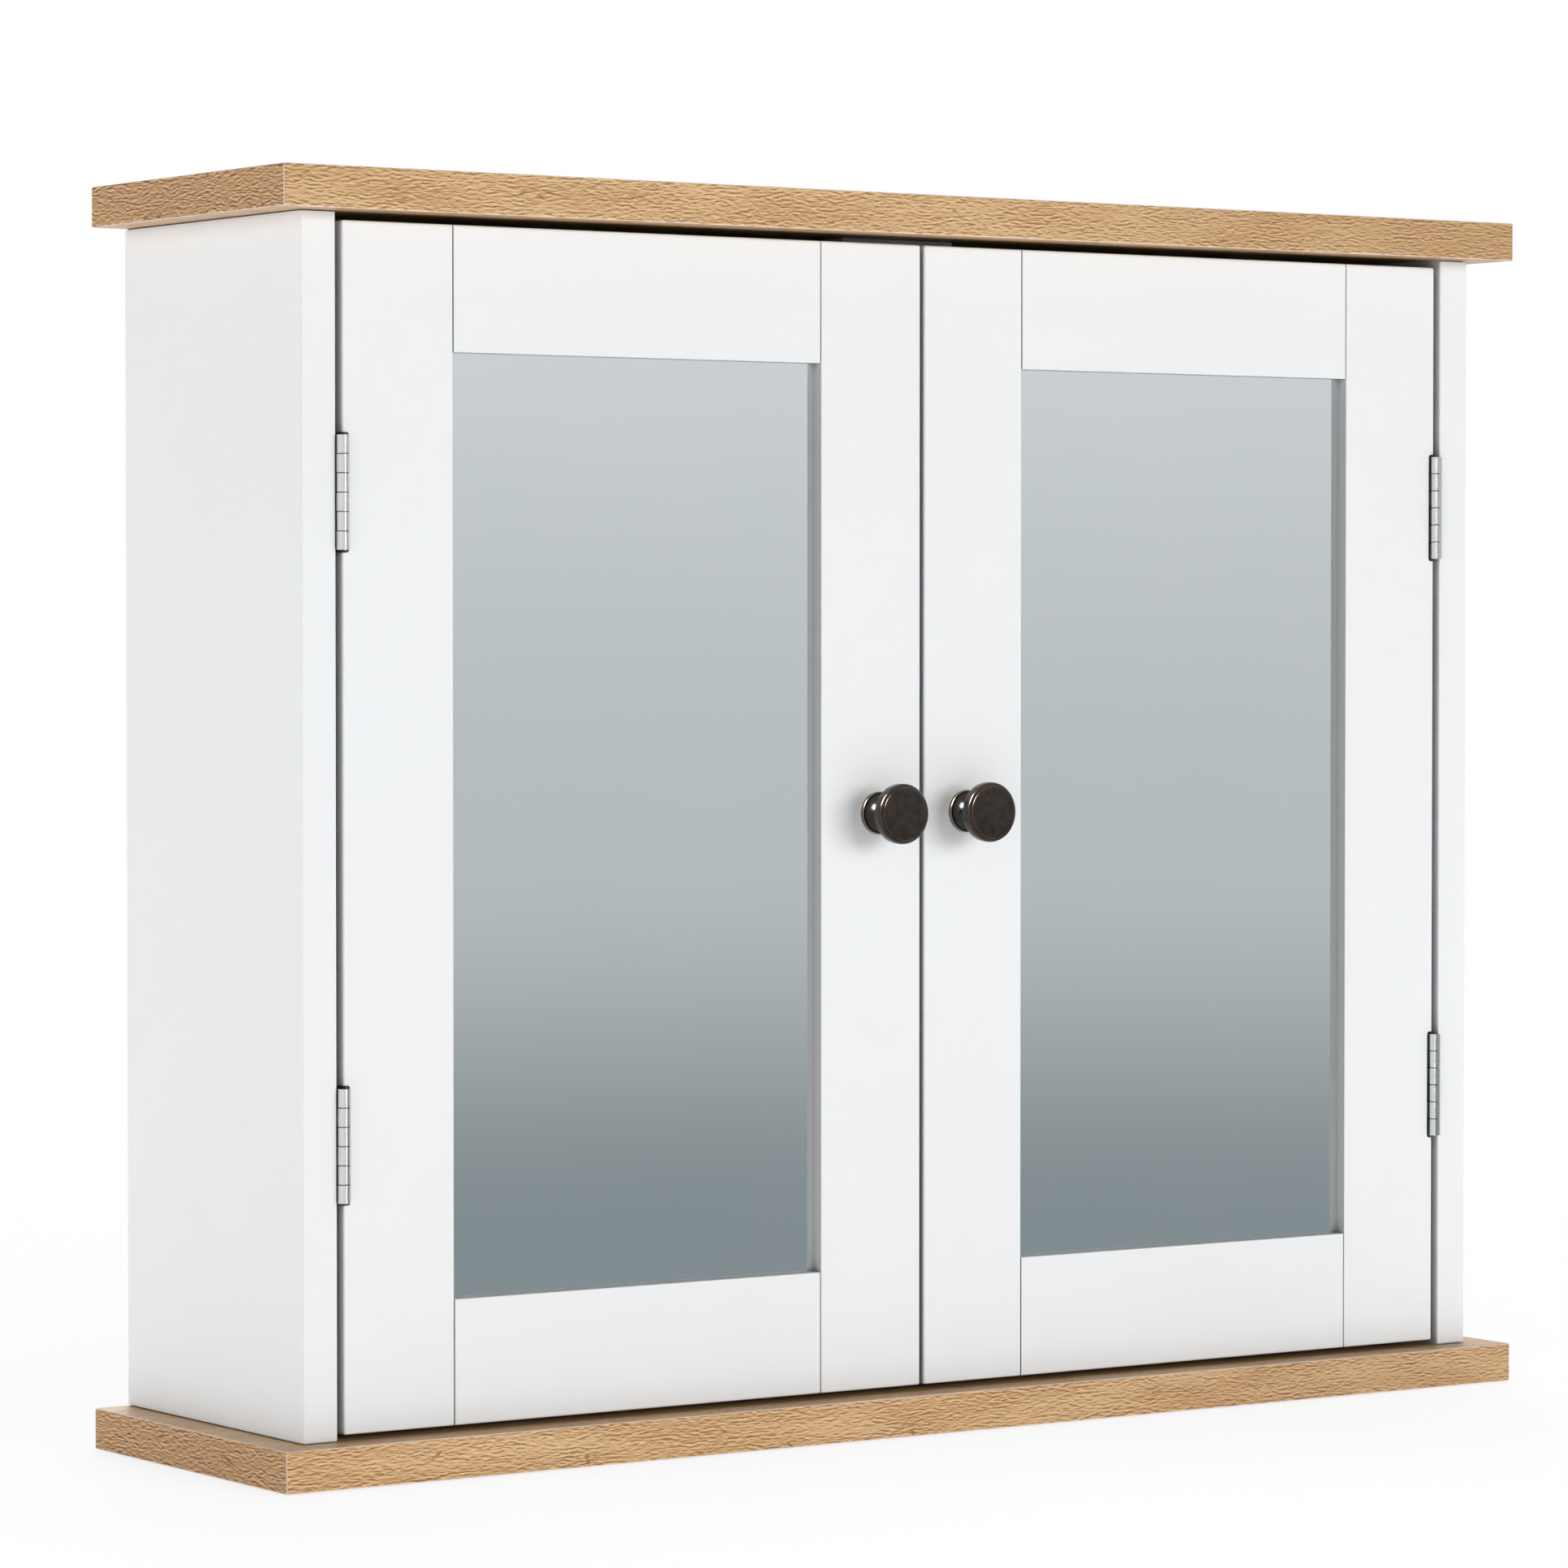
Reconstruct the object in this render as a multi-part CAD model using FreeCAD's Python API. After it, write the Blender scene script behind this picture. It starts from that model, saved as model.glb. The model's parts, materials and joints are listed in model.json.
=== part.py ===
import FreeCAD, Part
import math
import os

# Wall-hung mirror cabinet: a white case between two oak-effect boards, closed by two framed
# mirror doors on butt hinges. Sizes are in millimetres. The origin is the middle of the rear
# face, +X is to the right of someone facing the doors, +Y points at the wall and +Z is up.
# Whatever comes in pairs is drawn on the right and mirrored for the left.

Vector = FreeCAD.Vector
RIGHT = Vector(1, 0, 0)
LEFT = Vector(-1, 0, 0)
REARWARD = Vector(0, 1, 0)
FORWARD = Vector(0, -1, 0)
UP = Vector(0, 0, 1)
DOWN = Vector(0, 0, -1)

# Case and boards
CASE_WIDTH = 571.0
CASE_DEPTH = 139.0
CASE_HEIGHT = 462.5
PANEL_THICK = 15.0
PANEL_EASE = 0.8
PANEL_SHADOW_HEIGHT = 0.5
PANEL_SHADOW_DEPTH = 1.5
BOARD_THICK = 16.0
BOARD_SIDE_OVERHANG = 14.5
BOARD_FRONT_OVERHANG = 13.0
BOARD_EASE = 0.6

# Back panel, let into the side panels
BACK_THICK = 3.0
BACK_REBATE = 7.0
BACK_EDGE_GAP = 0.4
BACK_SCREW_COUNT = 4
BACK_SCREW_FROM_END = 55.0
BACK_SCREW_FROM_MIDDLE = 100.0
BACK_SCREW_LENGTH = 14.0
BACK_SCREW_HEAD_RADIUS = 2.4
BACK_SCREW_RADIUS = 1.2

# Hanging rail and its wall screw holes
RAIL_HEIGHT = 60.0
RAIL_THICK = 15.0
WALL_HOLE_RADIUS = 2.75
WALL_HOLE_SPACING = 400.0
RAIL_DOWEL_RADIUS = 3.0
RAIL_DOWEL_LENGTH = 30.0
RAIL_DOWEL_IN_PANEL = 9.0
RAIL_DOWEL_SPACING = 30.0

# Knock-down joints between side panels and boards
CAM_RADIUS = 7.4
CAM_SKIN = 2.5
CAM_FROM_END = 24.0
CAM_FROM_REAR = 32.0
CAM_FROM_FRONT = 27.0
CAM_SLOT_WIDTH = 1.6
CAM_SLOT_LENGTH = 9.0
CAM_SLOT_DEPTH = 1.5
BOLT_BITE = 11.0
BOLT_THREAD_RADIUS = 2.5
BOLT_COLLAR_RADIUS = 3.5
BOLT_COLLAR_LENGTH = 3.0
BOLT_SHANK_RADIUS = 2.0
BOLT_HEAD_RADIUS = 3.2
BOLT_HEAD_LENGTH = 4.0
BOLT_BORE_RADIUS = 4.0
DOWEL_RADIUS = 4.0
DOWEL_LENGTH = 30.0
DOWEL_IN_BOARD = 12.0
DOWEL_FROM_CAM = 20.0
DOWEL_CHAMFER = 0.8

# Shelf on its pins
SHELF_THICK = 15.0
SHELF_SIDE_GAP = 1.0
SHELF_REAR_GAP = 1.0
SHELF_FRONT_GAP = 7.7
PIN_ROW_COUNT = 3
PIN_ROW_PITCH = 64.0
PIN_ROW_FIRST = 151.0
LOWER_PIN_ROW_COUNT = 1
PIN_FROM_SHELF_EDGE = 22.0
PIN_SHANK_RADIUS = 2.5
PIN_SHANK_LENGTH = 8.0
PIN_PEG_RADIUS = 3.2
PIN_PEG_LENGTH = 8.0
PIN_PEG_FLAT = 2.2

# Door frames and mirrors
DOOR_THICK = 15.0
DOOR_SETBACK = 0.3
DOOR_SIDE_GAP = 3.0
DOOR_MEETING_GAP = 1.9
DOOR_TOP_GAP = 3.3
DOOR_BOTTOM_GAP = 2.3
FRAME_WIDTH = 48.3
FRAME_OUTER_EASE = 0.9
FRAME_INNER_EASE = 0.35
JOINT_LINE_WIDTH = 0.45
JOINT_LINE_DEPTH = 1.0
JOINT_LINE_EASE = 0.15
MIRROR_RECESS = 5.0
GLASS_THICK = 3.0
BACKING_THICK = 3.0
GROOVE_DEPTH = 8.0
GROOVE_SLACK = 0.2
GLASS_EDGE_GAP = 0.5
TENON_GAP = 0.3

# Butt hinges
HINGE_LENGTH = 43.5
HINGE_RADIUS = 2.5
HINGE_LEAF_THICK = 1.1
HINGE_LEAF_REACH = 13.5
HINGE_PROUD = 0.8
HINGE_UPPER_DROP = 80.3
HINGE_LOWER_RISE = 87.5
KNUCKLE_COUNT = 6
KNUCKLE_GAP = 0.36
KNUCKLE_ROOM = 0.3
PIN_FIT = 0.05
NOTCH_SIDE_ROOM = 0.8
NOTCH_END_ROOM = 0.9
NOTCH_CORNER = 1.2
HINGE_SCREW_HEAD_RADIUS = 2.3
HINGE_SCREW_SPREAD = 24.0
HINGE_SCREW_FROM_EDGE = 5.2
HINGE_SCREW_LENGTH = 12.0

# Knobs
KNOB_FROM_EDGE = 20.6
KNOB_ABOVE_DOOR_FOOT = 230.2
KNOB_PROJECTION = 19.4
KNOB_BASE_RADIUS = 8.5
KNOB_FLANGE = 1.6
KNOB_FLANGE_ROUND = 0.5
KNOB_SHOULDER = 0.5
KNOB_NECK_RADIUS = 4.0
KNOB_NECK_RISE = 4.2
KNOB_HEAD_RADIUS = 12.0
KNOB_HEAD_THICK = 5.0
KNOB_BACK_RADIUS = 9.6
KNOB_BACK_ROUND = 0.7
KNOB_RIM_ROUND = 1.3
KNOB_FACE_RADIUS = 10.7
KNOB_FACE_STEP = 0.2
KNOB_FACE_ROUND = 0.5
KNOB_FLAT_RADIUS = 3.0
KNOB_CROWN = 0.4
KNOB_SCREW_RADIUS = 1.95
KNOB_SCREW_BITE = 8.0
KNOB_SCREW_HEAD_RADIUS = 4.0
KNOB_SCREW_HEAD_HEIGHT = 2.4

# Twin magnetic catch
CATCH_WALL = 1.5
CATCH_DEPTH = 13.0
CATCH_HEIGHT = 17.0
CATCH_EAR = 8.0
CATCH_EAR_THICK = 3.0
CATCH_REACH_GAP = 0.3
MAGNET_SPACING = 23.0
MAGNET_WIDTH = 12.0
MAGNET_DEPTH = 9.0
MAGNET_HEIGHT = 4.5
POLE_THICK = 1.0
POLE_PROUD = 0.6
STRIKE_WIDTH = 13.0
STRIKE_HEIGHT = 12.0
STRIKE_THICK = 1.1
CATCH_SCREW_RADIUS = 1.4
CATCH_SCREW_HEAD_RADIUS = 2.8
CATCH_SCREW_HEAD_HEIGHT = 1.8
CATCH_SCREW_LENGTH = 11.0
STRIKE_SCREW_LENGTH = 10.0
STRIKE_SCREW_HEAD_RADIUS = 2.5

# Cosine above which two directions count as parallel
NEARLY_PARALLEL = 0.999

# Clearances of loose fits
HOLE_ROOM = 0.1
BORE_END_ROOM = 0.6
SCREW_POINT = 2.5

# Faces and lines that the pieces share
CASE_INNER = CASE_WIDTH / 2 - PANEL_THICK
CASE_OUTER = CASE_WIDTH / 2
CASE_FRONT = -CASE_DEPTH
CASE_TOP = CASE_HEIGHT / 2
CASE_FOOT = -CASE_TOP
PANEL_MIDDLE = CASE_WIDTH / 2 - PANEL_THICK / 2
BACK_FRONT = -BACK_THICK
CAM_ROWS = (-CAM_FROM_REAR, CASE_FRONT + CAM_FROM_FRONT)
DOWEL_ROWS = (CAM_ROWS[0] - DOWEL_FROM_CAM, CAM_ROWS[1] + DOWEL_FROM_CAM)
CAM_LENGTH = PANEL_THICK - CAM_SKIN
RAIL_FRONT = BACK_FRONT - RAIL_THICK
RAIL_MIDDLE = BACK_FRONT - RAIL_THICK / 2
RAIL_CENTRE = CASE_TOP - RAIL_HEIGHT / 2
DOOR_OUTER = CASE_INNER - DOOR_SIDE_GAP
DOOR_INNER = DOOR_MEETING_GAP / 2
DOOR_FRONT = CASE_FRONT + DOOR_SETBACK
DOOR_REAR = DOOR_FRONT + DOOR_THICK
DOOR_TOP = CASE_TOP - DOOR_TOP_GAP
DOOR_FOOT = CASE_FOOT + DOOR_BOTTOM_GAP
SHELF_REAR = BACK_FRONT - SHELF_REAR_GAP
SHELF_FRONT = DOOR_REAR + SHELF_FRONT_GAP
PIN_ROWS = (SHELF_REAR - PIN_FROM_SHELF_EDGE, SHELF_FRONT + PIN_FROM_SHELF_EDGE)
PIN_LEVELS = [CASE_FOOT + PIN_ROW_FIRST + row * PIN_ROW_PITCH for row in range(PIN_ROW_COUNT)]
SHELF_FOOT = PIN_LEVELS[LOWER_PIN_ROW_COUNT] + PIN_PEG_FLAT
WINDOW_X = (DOOR_INNER + FRAME_WIDTH, DOOR_OUTER - FRAME_WIDTH)
WINDOW_Z = (DOOR_FOOT + FRAME_WIDTH, DOOR_TOP - FRAME_WIDTH)
GROOVE_FRONT = DOOR_FRONT + MIRROR_RECESS
GROOVE_REAR = GROOVE_FRONT + GLASS_THICK + BACKING_THICK + GROOVE_SLACK
AXIS_X = CASE_INNER - HINGE_RADIUS
AXIS_Y = CASE_FRONT - HINGE_PROUD
HINGE_FEET = {
    "upper": DOOR_TOP - HINGE_UPPER_DROP - HINGE_LENGTH,
    "lower": DOOR_FOOT + HINGE_LOWER_RISE,
}
KNUCKLE_PITCH = HINGE_LENGTH / KNUCKLE_COUNT
HINGE_BORE_RADIUS = HINGE_RADIUS - HINGE_LEAF_THICK
HINGE_SCREW_RADIUS = HINGE_SCREW_HEAD_RADIUS - HINGE_LEAF_THICK
HINGE_SCREW_Y = AXIS_Y + HINGE_LEAF_REACH - HINGE_SCREW_FROM_EDGE
FRAME_LEAF_FACE = CASE_INNER - HINGE_LEAF_THICK
DOOR_LEAF_SEAT = AXIS_X - HINGE_RADIUS
DOOR_LEAF_FACE = DOOR_LEAF_SEAT + HINGE_LEAF_THICK
KNOB_X = DOOR_INNER + KNOB_FROM_EDGE
KNOB_Z = DOOR_FOOT + KNOB_ABOVE_DOOR_FOOT
POLE_FRONT = DOOR_REAR + STRIKE_THICK + CATCH_REACH_GAP
CATCH_FRONT = POLE_FRONT + POLE_PROUD
CATCH_WIDTH = MAGNET_SPACING + MAGNET_WIDTH + 2 * CATCH_WALL
MAGNET_CENTRE = CASE_TOP - CATCH_EAR_THICK - (CATCH_HEIGHT - CATCH_EAR_THICK) / 2
CATCH_SCREW_X = CATCH_WIDTH / 2 + CATCH_EAR / 2
CATCH_SCREW_Y = CATCH_FRONT + CATCH_DEPTH / 2


# Drawing helpers

def block(x, y, z):
    """Box between three pairs of limits."""
    return Part.makeBox(x[1] - x[0], y[1] - y[0], z[1] - z[0], Vector(x[0], y[0], z[0]))


def eased(solid, radius, chosen=None):
    """Round the edges of a solid, all of them or the chosen ones."""
    edges = [edge for edge in solid.Edges if chosen is None or chosen(edge)]
    return solid.makeFillet(radius, edges)


def runs_along(edge, direction):
    """Whether a straight edge is parallel to a direction."""
    span = edge.Vertexes[-1].Point - edge.Vertexes[0].Point
    return abs(span.dot(direction)) > span.Length * NEARLY_PARALLEL


def rod(start, direction, radius, length):
    """Cylinder that runs from a point along a direction."""
    return Part.makeCylinder(radius, length, start, direction)


def closed_outline(points):
    """Face inside straight lines through (radius, height) points."""
    corners = [Vector(radius, 0, height) for radius, height in points]
    return Part.Face(Part.makePolygon(corners + corners[:1]))


def turned(face, start, direction):
    """Solid of revolution of a face drawn as radius and height, set up along a direction."""
    solid = face.revolve(Vector(0, 0, 0), UP, 360)
    solid.Placement = FreeCAD.Placement(start, FreeCAD.Rotation(UP, direction))
    return solid


def mirrored(solid):
    """The same piece on the left."""
    return solid.mirror(Vector(0, 0, 0), RIGHT)


def both_sides(solids):
    """Solids on the right, followed by their mirror images on the left."""
    return solids + [mirrored(solid) for solid in solids]


def countersunk_screw(face_centre, direction, head_radius, radius, length):
    """Wood screw with a right-angled countersunk head, flush at face_centre."""
    outline = [
        (0, 0),
        (head_radius, 0),
        (radius, head_radius - radius),
        (radius, length - SCREW_POINT),
        (0, length),
    ]
    return turned(closed_outline(outline), face_centre, direction)


def countersunk_hole(face_centre, direction, head_radius, radius, length):
    """Cutter for a countersunk screw, with room round its shank and past its point."""
    cone = Part.makeCone(head_radius, radius, head_radius - radius, face_centre, direction)
    return cone.fuse(rod(face_centre, direction, radius + HOLE_ROOM, length + BORE_END_ROOM))


def flat_head_screw(seat_centre, direction, head_radius, head_height, radius, length):
    """Screw whose flat head sits on seat_centre and whose shank runs along a direction."""
    outline = [
        (0, -head_height),
        (head_radius - head_height / 2, -head_height),
        (head_radius, -head_height / 2),
        (head_radius, 0),
        (radius, 0),
        (radius, length),
        (0, length),
    ]
    return turned(closed_outline(outline), seat_centre, direction)


def dowel(start, direction, radius, length):
    """Round dowel with chamfered ends."""
    outline = [
        (0, 0),
        (radius - DOWEL_CHAMFER, 0),
        (radius, DOWEL_CHAMFER),
        (radius, length - DOWEL_CHAMFER),
        (radius - DOWEL_CHAMFER, length),
        (0, length),
    ]
    return turned(closed_outline(outline), start, direction)


# Places that several pieces share

def joint_places(rows):
    """Points on the top and foot of the right panel, with the direction into the board."""
    return [
        (Vector(PANEL_MIDDLE, row, level), outward)
        for level, outward in ((CASE_TOP, UP), (CASE_FOOT, DOWN))
        for row in rows
    ]


def back_screw_places():
    """Points on the rear face over the right panel's rebate and over the hanging rail."""
    first = CASE_FOOT + BACK_SCREW_FROM_END
    step = (CASE_HEIGHT - 2 * BACK_SCREW_FROM_END) / (BACK_SCREW_COUNT - 1)
    column = CASE_INNER + BACK_REBATE / 2
    places = [Vector(column, 0, first + index * step) for index in range(BACK_SCREW_COUNT)]
    return places + [Vector(BACK_SCREW_FROM_MIDDLE, 0, RAIL_CENTRE)]


def rail_dowel_places():
    """Points on the right end of the hanging rail."""
    return [
        Vector(CASE_INNER, RAIL_MIDDLE, RAIL_CENTRE + rise * RAIL_DOWEL_SPACING / 2)
        for rise in (-1, 1)
    ]


def hinge_screw_levels(hinge):
    """Heights of the two screws in each leaf of a hinge."""
    middle = HINGE_FEET[hinge] + HINGE_LENGTH / 2
    return [middle - HINGE_SCREW_SPREAD / 2, middle + HINGE_SCREW_SPREAD / 2]


def hinge_screw_places(face):
    """Points on the open face of the right-hand leaves, upper and lower."""
    return [
        Vector(face, HINGE_SCREW_Y, level)
        for hinge in HINGE_FEET
        for level in hinge_screw_levels(hinge)
    ]


# Case

def board(level, outward):
    """Oak-effect board whose inner face is at a level, with blind bores for the joints."""
    near, far = sorted((level, level + outward.z * BOARD_THICK))
    half = CASE_OUTER + BOARD_SIDE_OVERHANG
    solid = block((-half, half), (CASE_FRONT - BOARD_FRONT_OVERHANG, 0), (near, far))
    solid = eased(solid, BOARD_EASE)
    bores = []
    for place, direction in joint_places(CAM_ROWS):
        if direction == outward:
            bores.append(rod(place, direction, BOLT_THREAD_RADIUS + HOLE_ROOM, BOLT_BITE + BORE_END_ROOM))
    for place, direction in joint_places(DOWEL_ROWS):
        if direction == outward:
            bores.append(rod(place, direction, DOWEL_RADIUS + HOLE_ROOM, DOWEL_IN_BOARD + BORE_END_ROOM))
    return solid.cut(both_sides(bores))


def top_board():
    """Board over the case, with pilot holes for the catch."""
    pilots = [
        rod(place, UP, CATCH_SCREW_RADIUS + HOLE_ROOM, CATCH_SCREW_LENGTH)
        for place in catch_screw_places(CASE_TOP)
    ]
    return board(CASE_TOP, UP).cut(pilots)


def side_panel():
    """Right side panel with its rebate, shadow lines at the ends, joint bores and pin holes."""
    levels = (CASE_FOOT, CASE_TOP)
    solid = block((CASE_INNER, CASE_OUTER), (CASE_FRONT, 0), levels)
    solid = eased(solid, PANEL_EASE, lambda edge: runs_along(edge, UP))
    cutters = [block((CASE_INNER, CASE_INNER + BACK_REBATE), (BACK_FRONT, 0), levels)]
    for shadow in ((CASE_FOOT, CASE_FOOT + PANEL_SHADOW_HEIGHT), (CASE_TOP - PANEL_SHADOW_HEIGHT, CASE_TOP)):
        cutters.append(block((CASE_OUTER - PANEL_SHADOW_DEPTH, CASE_OUTER), (CASE_FRONT, 0), shadow))
        front = (CASE_FRONT, CASE_FRONT + PANEL_SHADOW_DEPTH)
        cutters.append(block((CASE_INNER, CASE_OUTER), front, shadow))
    for place, outward in joint_places(CAM_ROWS):
        pocket = Vector(CASE_INNER, place.y, place.z - outward.z * CAM_FROM_END)
        cutters.append(rod(pocket, RIGHT, CAM_RADIUS + HOLE_ROOM, CAM_LENGTH))
        cutters.append(rod(place, -outward, BOLT_BORE_RADIUS, CAM_FROM_END))
    for place, outward in joint_places(DOWEL_ROWS):
        depth = DOWEL_LENGTH - DOWEL_IN_BOARD + BORE_END_ROOM
        cutters.append(rod(place, -outward, DOWEL_RADIUS + HOLE_ROOM, depth))
    for row in PIN_ROWS:
        for level in PIN_LEVELS:
            mouth = Vector(CASE_INNER, row, level)
            cutters.append(rod(mouth, RIGHT, PIN_SHANK_RADIUS + HOLE_ROOM, PIN_SHANK_LENGTH + BORE_END_ROOM))
    for place in rail_dowel_places():
        depth = RAIL_DOWEL_IN_PANEL + BORE_END_ROOM
        cutters.append(rod(place, RIGHT, RAIL_DOWEL_RADIUS + HOLE_ROOM, depth))
    for place in hinge_screw_places(FRAME_LEAF_FACE):
        cutters.append(rod(place, RIGHT, HINGE_SCREW_RADIUS + HOLE_ROOM, HINGE_SCREW_LENGTH + BORE_END_ROOM))
    for place in back_screw_places():
        cutters.append(rod(place, FORWARD, BACK_SCREW_RADIUS + HOLE_ROOM, BACK_SCREW_LENGTH + BORE_END_ROOM))
    return solid.cut(cutters)


def back_panel():
    """Thin back, flush with the rear, with countersunk screw holes and wall holes."""
    half = CASE_INNER + BACK_REBATE - BACK_EDGE_GAP
    levels = (CASE_FOOT + BACK_EDGE_GAP, CASE_TOP - BACK_EDGE_GAP)
    solid = block((-half, half), (BACK_FRONT, 0), levels)
    cutters = [
        countersunk_hole(place, FORWARD, BACK_SCREW_HEAD_RADIUS, BACK_SCREW_RADIUS, BACK_SCREW_LENGTH)
        for place in back_screw_places()
    ]
    cutters.append(wall_hole())
    return solid.cut(both_sides(cutters))


def back_panel_screws():
    """Countersunk screws that hold the back to the side panels and the rail."""
    return both_sides([
        countersunk_screw(place, FORWARD, BACK_SCREW_HEAD_RADIUS, BACK_SCREW_RADIUS, BACK_SCREW_LENGTH)
        for place in back_screw_places()
    ])


def wall_hole():
    """Cutter for the right-hand wall screw, through the back panel and the rail."""
    mouth = Vector(WALL_HOLE_SPACING / 2, 0, RAIL_CENTRE)
    return rod(mouth, FORWARD, WALL_HOLE_RADIUS, BACK_THICK + RAIL_THICK)


def hanging_rail():
    """Rail under the top board that carries the cabinet on two wall screws."""
    levels = (CASE_TOP - RAIL_HEIGHT, CASE_TOP)
    solid = block((-CASE_INNER, CASE_INNER), (RAIL_FRONT, BACK_FRONT), levels)
    depth = RAIL_DOWEL_LENGTH - RAIL_DOWEL_IN_PANEL + BORE_END_ROOM
    cutters = [rod(place, LEFT, RAIL_DOWEL_RADIUS + HOLE_ROOM, depth) for place in rail_dowel_places()]
    cutters.append(wall_hole())
    for place in back_screw_places():
        cutters.append(rod(place, FORWARD, BACK_SCREW_RADIUS + HOLE_ROOM, BACK_SCREW_LENGTH + BORE_END_ROOM))
    return solid.cut(both_sides(cutters))


def hanging_rail_dowels():
    """Dowels between the rail's ends and the side panels."""
    return both_sides([
        dowel(place + RIGHT * RAIL_DOWEL_IN_PANEL, LEFT, RAIL_DOWEL_RADIUS, RAIL_DOWEL_LENGTH)
        for place in rail_dowel_places()
    ])


def corner_dowels():
    """Dowels between the side panels and the boards."""
    return both_sides([
        dowel(place + outward * DOWEL_IN_BOARD, -outward, DOWEL_RADIUS, DOWEL_LENGTH)
        for place, outward in joint_places(DOWEL_ROWS)
    ])


def cam_disc(place, outward):
    """Cam with a screwdriver cross and a channel for the bolt's head and shank."""
    centre = Vector(CASE_INNER, place.y, place.z - outward.z * CAM_FROM_END)
    solid = rod(centre, RIGHT, CAM_RADIUS, CAM_LENGTH)
    bolt = Vector(PANEL_MIDDLE, place.y, centre.z)
    head_half = BOLT_HEAD_LENGTH / 2 + HOLE_ROOM
    cutters = [
        rod(bolt - outward * head_half, outward, BOLT_HEAD_RADIUS + HOLE_ROOM, 2 * head_half),
        rod(bolt, outward, BOLT_SHANK_RADIUS + HOLE_ROOM, CAM_RADIUS),
    ]
    for half_y, half_z in ((CAM_SLOT_LENGTH, CAM_SLOT_WIDTH), (CAM_SLOT_WIDTH, CAM_SLOT_LENGTH)):
        cutters.append(block(
            (centre.x, centre.x + CAM_SLOT_DEPTH),
            (centre.y - half_y / 2, centre.y + half_y / 2),
            (centre.z - half_z / 2, centre.z + half_z / 2),
        ))
    return solid.cut(cutters)


def cam_discs():
    """The eight cams in the side panels."""
    return both_sides([cam_disc(place, outward) for place, outward in joint_places(CAM_ROWS)])


def cam_bolts():
    """The eight bolts that the cams draw down, screwed into the boards."""
    neck = BOLT_BITE + CAM_FROM_END - BOLT_HEAD_LENGTH / 2
    outline = closed_outline([
        (0, 0),
        (BOLT_THREAD_RADIUS, 0),
        (BOLT_THREAD_RADIUS, BOLT_BITE),
        (BOLT_COLLAR_RADIUS, BOLT_BITE),
        (BOLT_COLLAR_RADIUS, BOLT_BITE + BOLT_COLLAR_LENGTH),
        (BOLT_SHANK_RADIUS, BOLT_BITE + BOLT_COLLAR_LENGTH),
        (BOLT_SHANK_RADIUS, neck),
        (BOLT_HEAD_RADIUS, neck),
        (BOLT_HEAD_RADIUS, neck + BOLT_HEAD_LENGTH),
        (0, neck + BOLT_HEAD_LENGTH),
    ])
    return both_sides([
        turned(outline, place + outward * BOLT_BITE, -outward)
        for place, outward in joint_places(CAM_ROWS)
    ])


# Shelf

def shelf():
    """Loose shelf that rests on the flats of its four pins."""
    half = CASE_INNER - SHELF_SIDE_GAP
    solid = block((-half, half), (SHELF_FRONT, SHELF_REAR), (SHELF_FOOT, SHELF_FOOT + SHELF_THICK))
    return eased(solid, PANEL_EASE)


def shelf_pin(row):
    """Pin in the right panel: a shank in its hole and a flat-topped peg under the shelf."""
    mouth = Vector(CASE_INNER, row, PIN_LEVELS[LOWER_PIN_ROW_COUNT])
    peg = rod(mouth, LEFT, PIN_PEG_RADIUS, PIN_PEG_LENGTH)
    above_flat = block(
        (mouth.x - PIN_PEG_LENGTH, mouth.x),
        (mouth.y - PIN_PEG_RADIUS, mouth.y + PIN_PEG_RADIUS),
        (SHELF_FOOT, mouth.z + PIN_PEG_RADIUS),
    )
    return peg.cut(above_flat).fuse(rod(mouth, RIGHT, PIN_SHANK_RADIUS, PIN_SHANK_LENGTH))


def shelf_pins():
    """The four pins under the shelf."""
    return both_sides([shelf_pin(row) for row in PIN_ROWS])


# Catch

def catch_screw_places(level):
    """Middles of the catch's two screws at a level."""
    return [Vector(side * CATCH_SCREW_X, CATCH_SCREW_Y, level) for side in (-1, 1)]


def magnet_limits(room):
    """Width, depth and height limits of the right magnet with its pole plates, plus room."""
    centre = MAGNET_SPACING / 2
    half_height = MAGNET_HEIGHT / 2 + POLE_THICK
    return (
        (centre - MAGNET_WIDTH / 2 - room, centre + MAGNET_WIDTH / 2 + room),
        (CATCH_FRONT, CATCH_FRONT + MAGNET_DEPTH),
        (MAGNET_CENTRE - half_height - room, MAGNET_CENTRE + half_height + room),
    )


def catch_housing():
    """Moulded body with two magnet pockets and an ear at each end."""
    half = CATCH_WIDTH / 2
    depth = (CATCH_FRONT, CATCH_FRONT + CATCH_DEPTH)
    body = eased(block((-half, half), depth, (CASE_TOP - CATCH_HEIGHT, CASE_TOP)), PANEL_EASE)
    ears = block((-half - CATCH_EAR, half + CATCH_EAR), depth, (CASE_TOP - CATCH_EAR_THICK, CASE_TOP))
    cutters = [
        rod(place, DOWN, CATCH_SCREW_RADIUS + HOLE_ROOM, CATCH_EAR_THICK)
        for place in catch_screw_places(CASE_TOP)
    ]
    cutters += both_sides([block(*magnet_limits(HOLE_ROOM))])
    return body.fuse(eased(ears, PANEL_EASE)).cut(cutters).removeSplitter()


def catch_magnets():
    """Two ferrite blocks between their pole plates."""
    x, y, _ = magnet_limits(0)
    z = (MAGNET_CENTRE - MAGNET_HEIGHT / 2, MAGNET_CENTRE + MAGNET_HEIGHT / 2)
    return both_sides([block(x, y, z)])


def catch_pole_plates():
    """Steel plates above and below each magnet that reach forward to the strike."""
    x, y, z = magnet_limits(0)
    reach = (POLE_FRONT, y[1])
    return both_sides([
        block(x, reach, (z[0], z[0] + POLE_THICK)),
        block(x, reach, (z[1] - POLE_THICK, z[1])),
    ])


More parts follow.
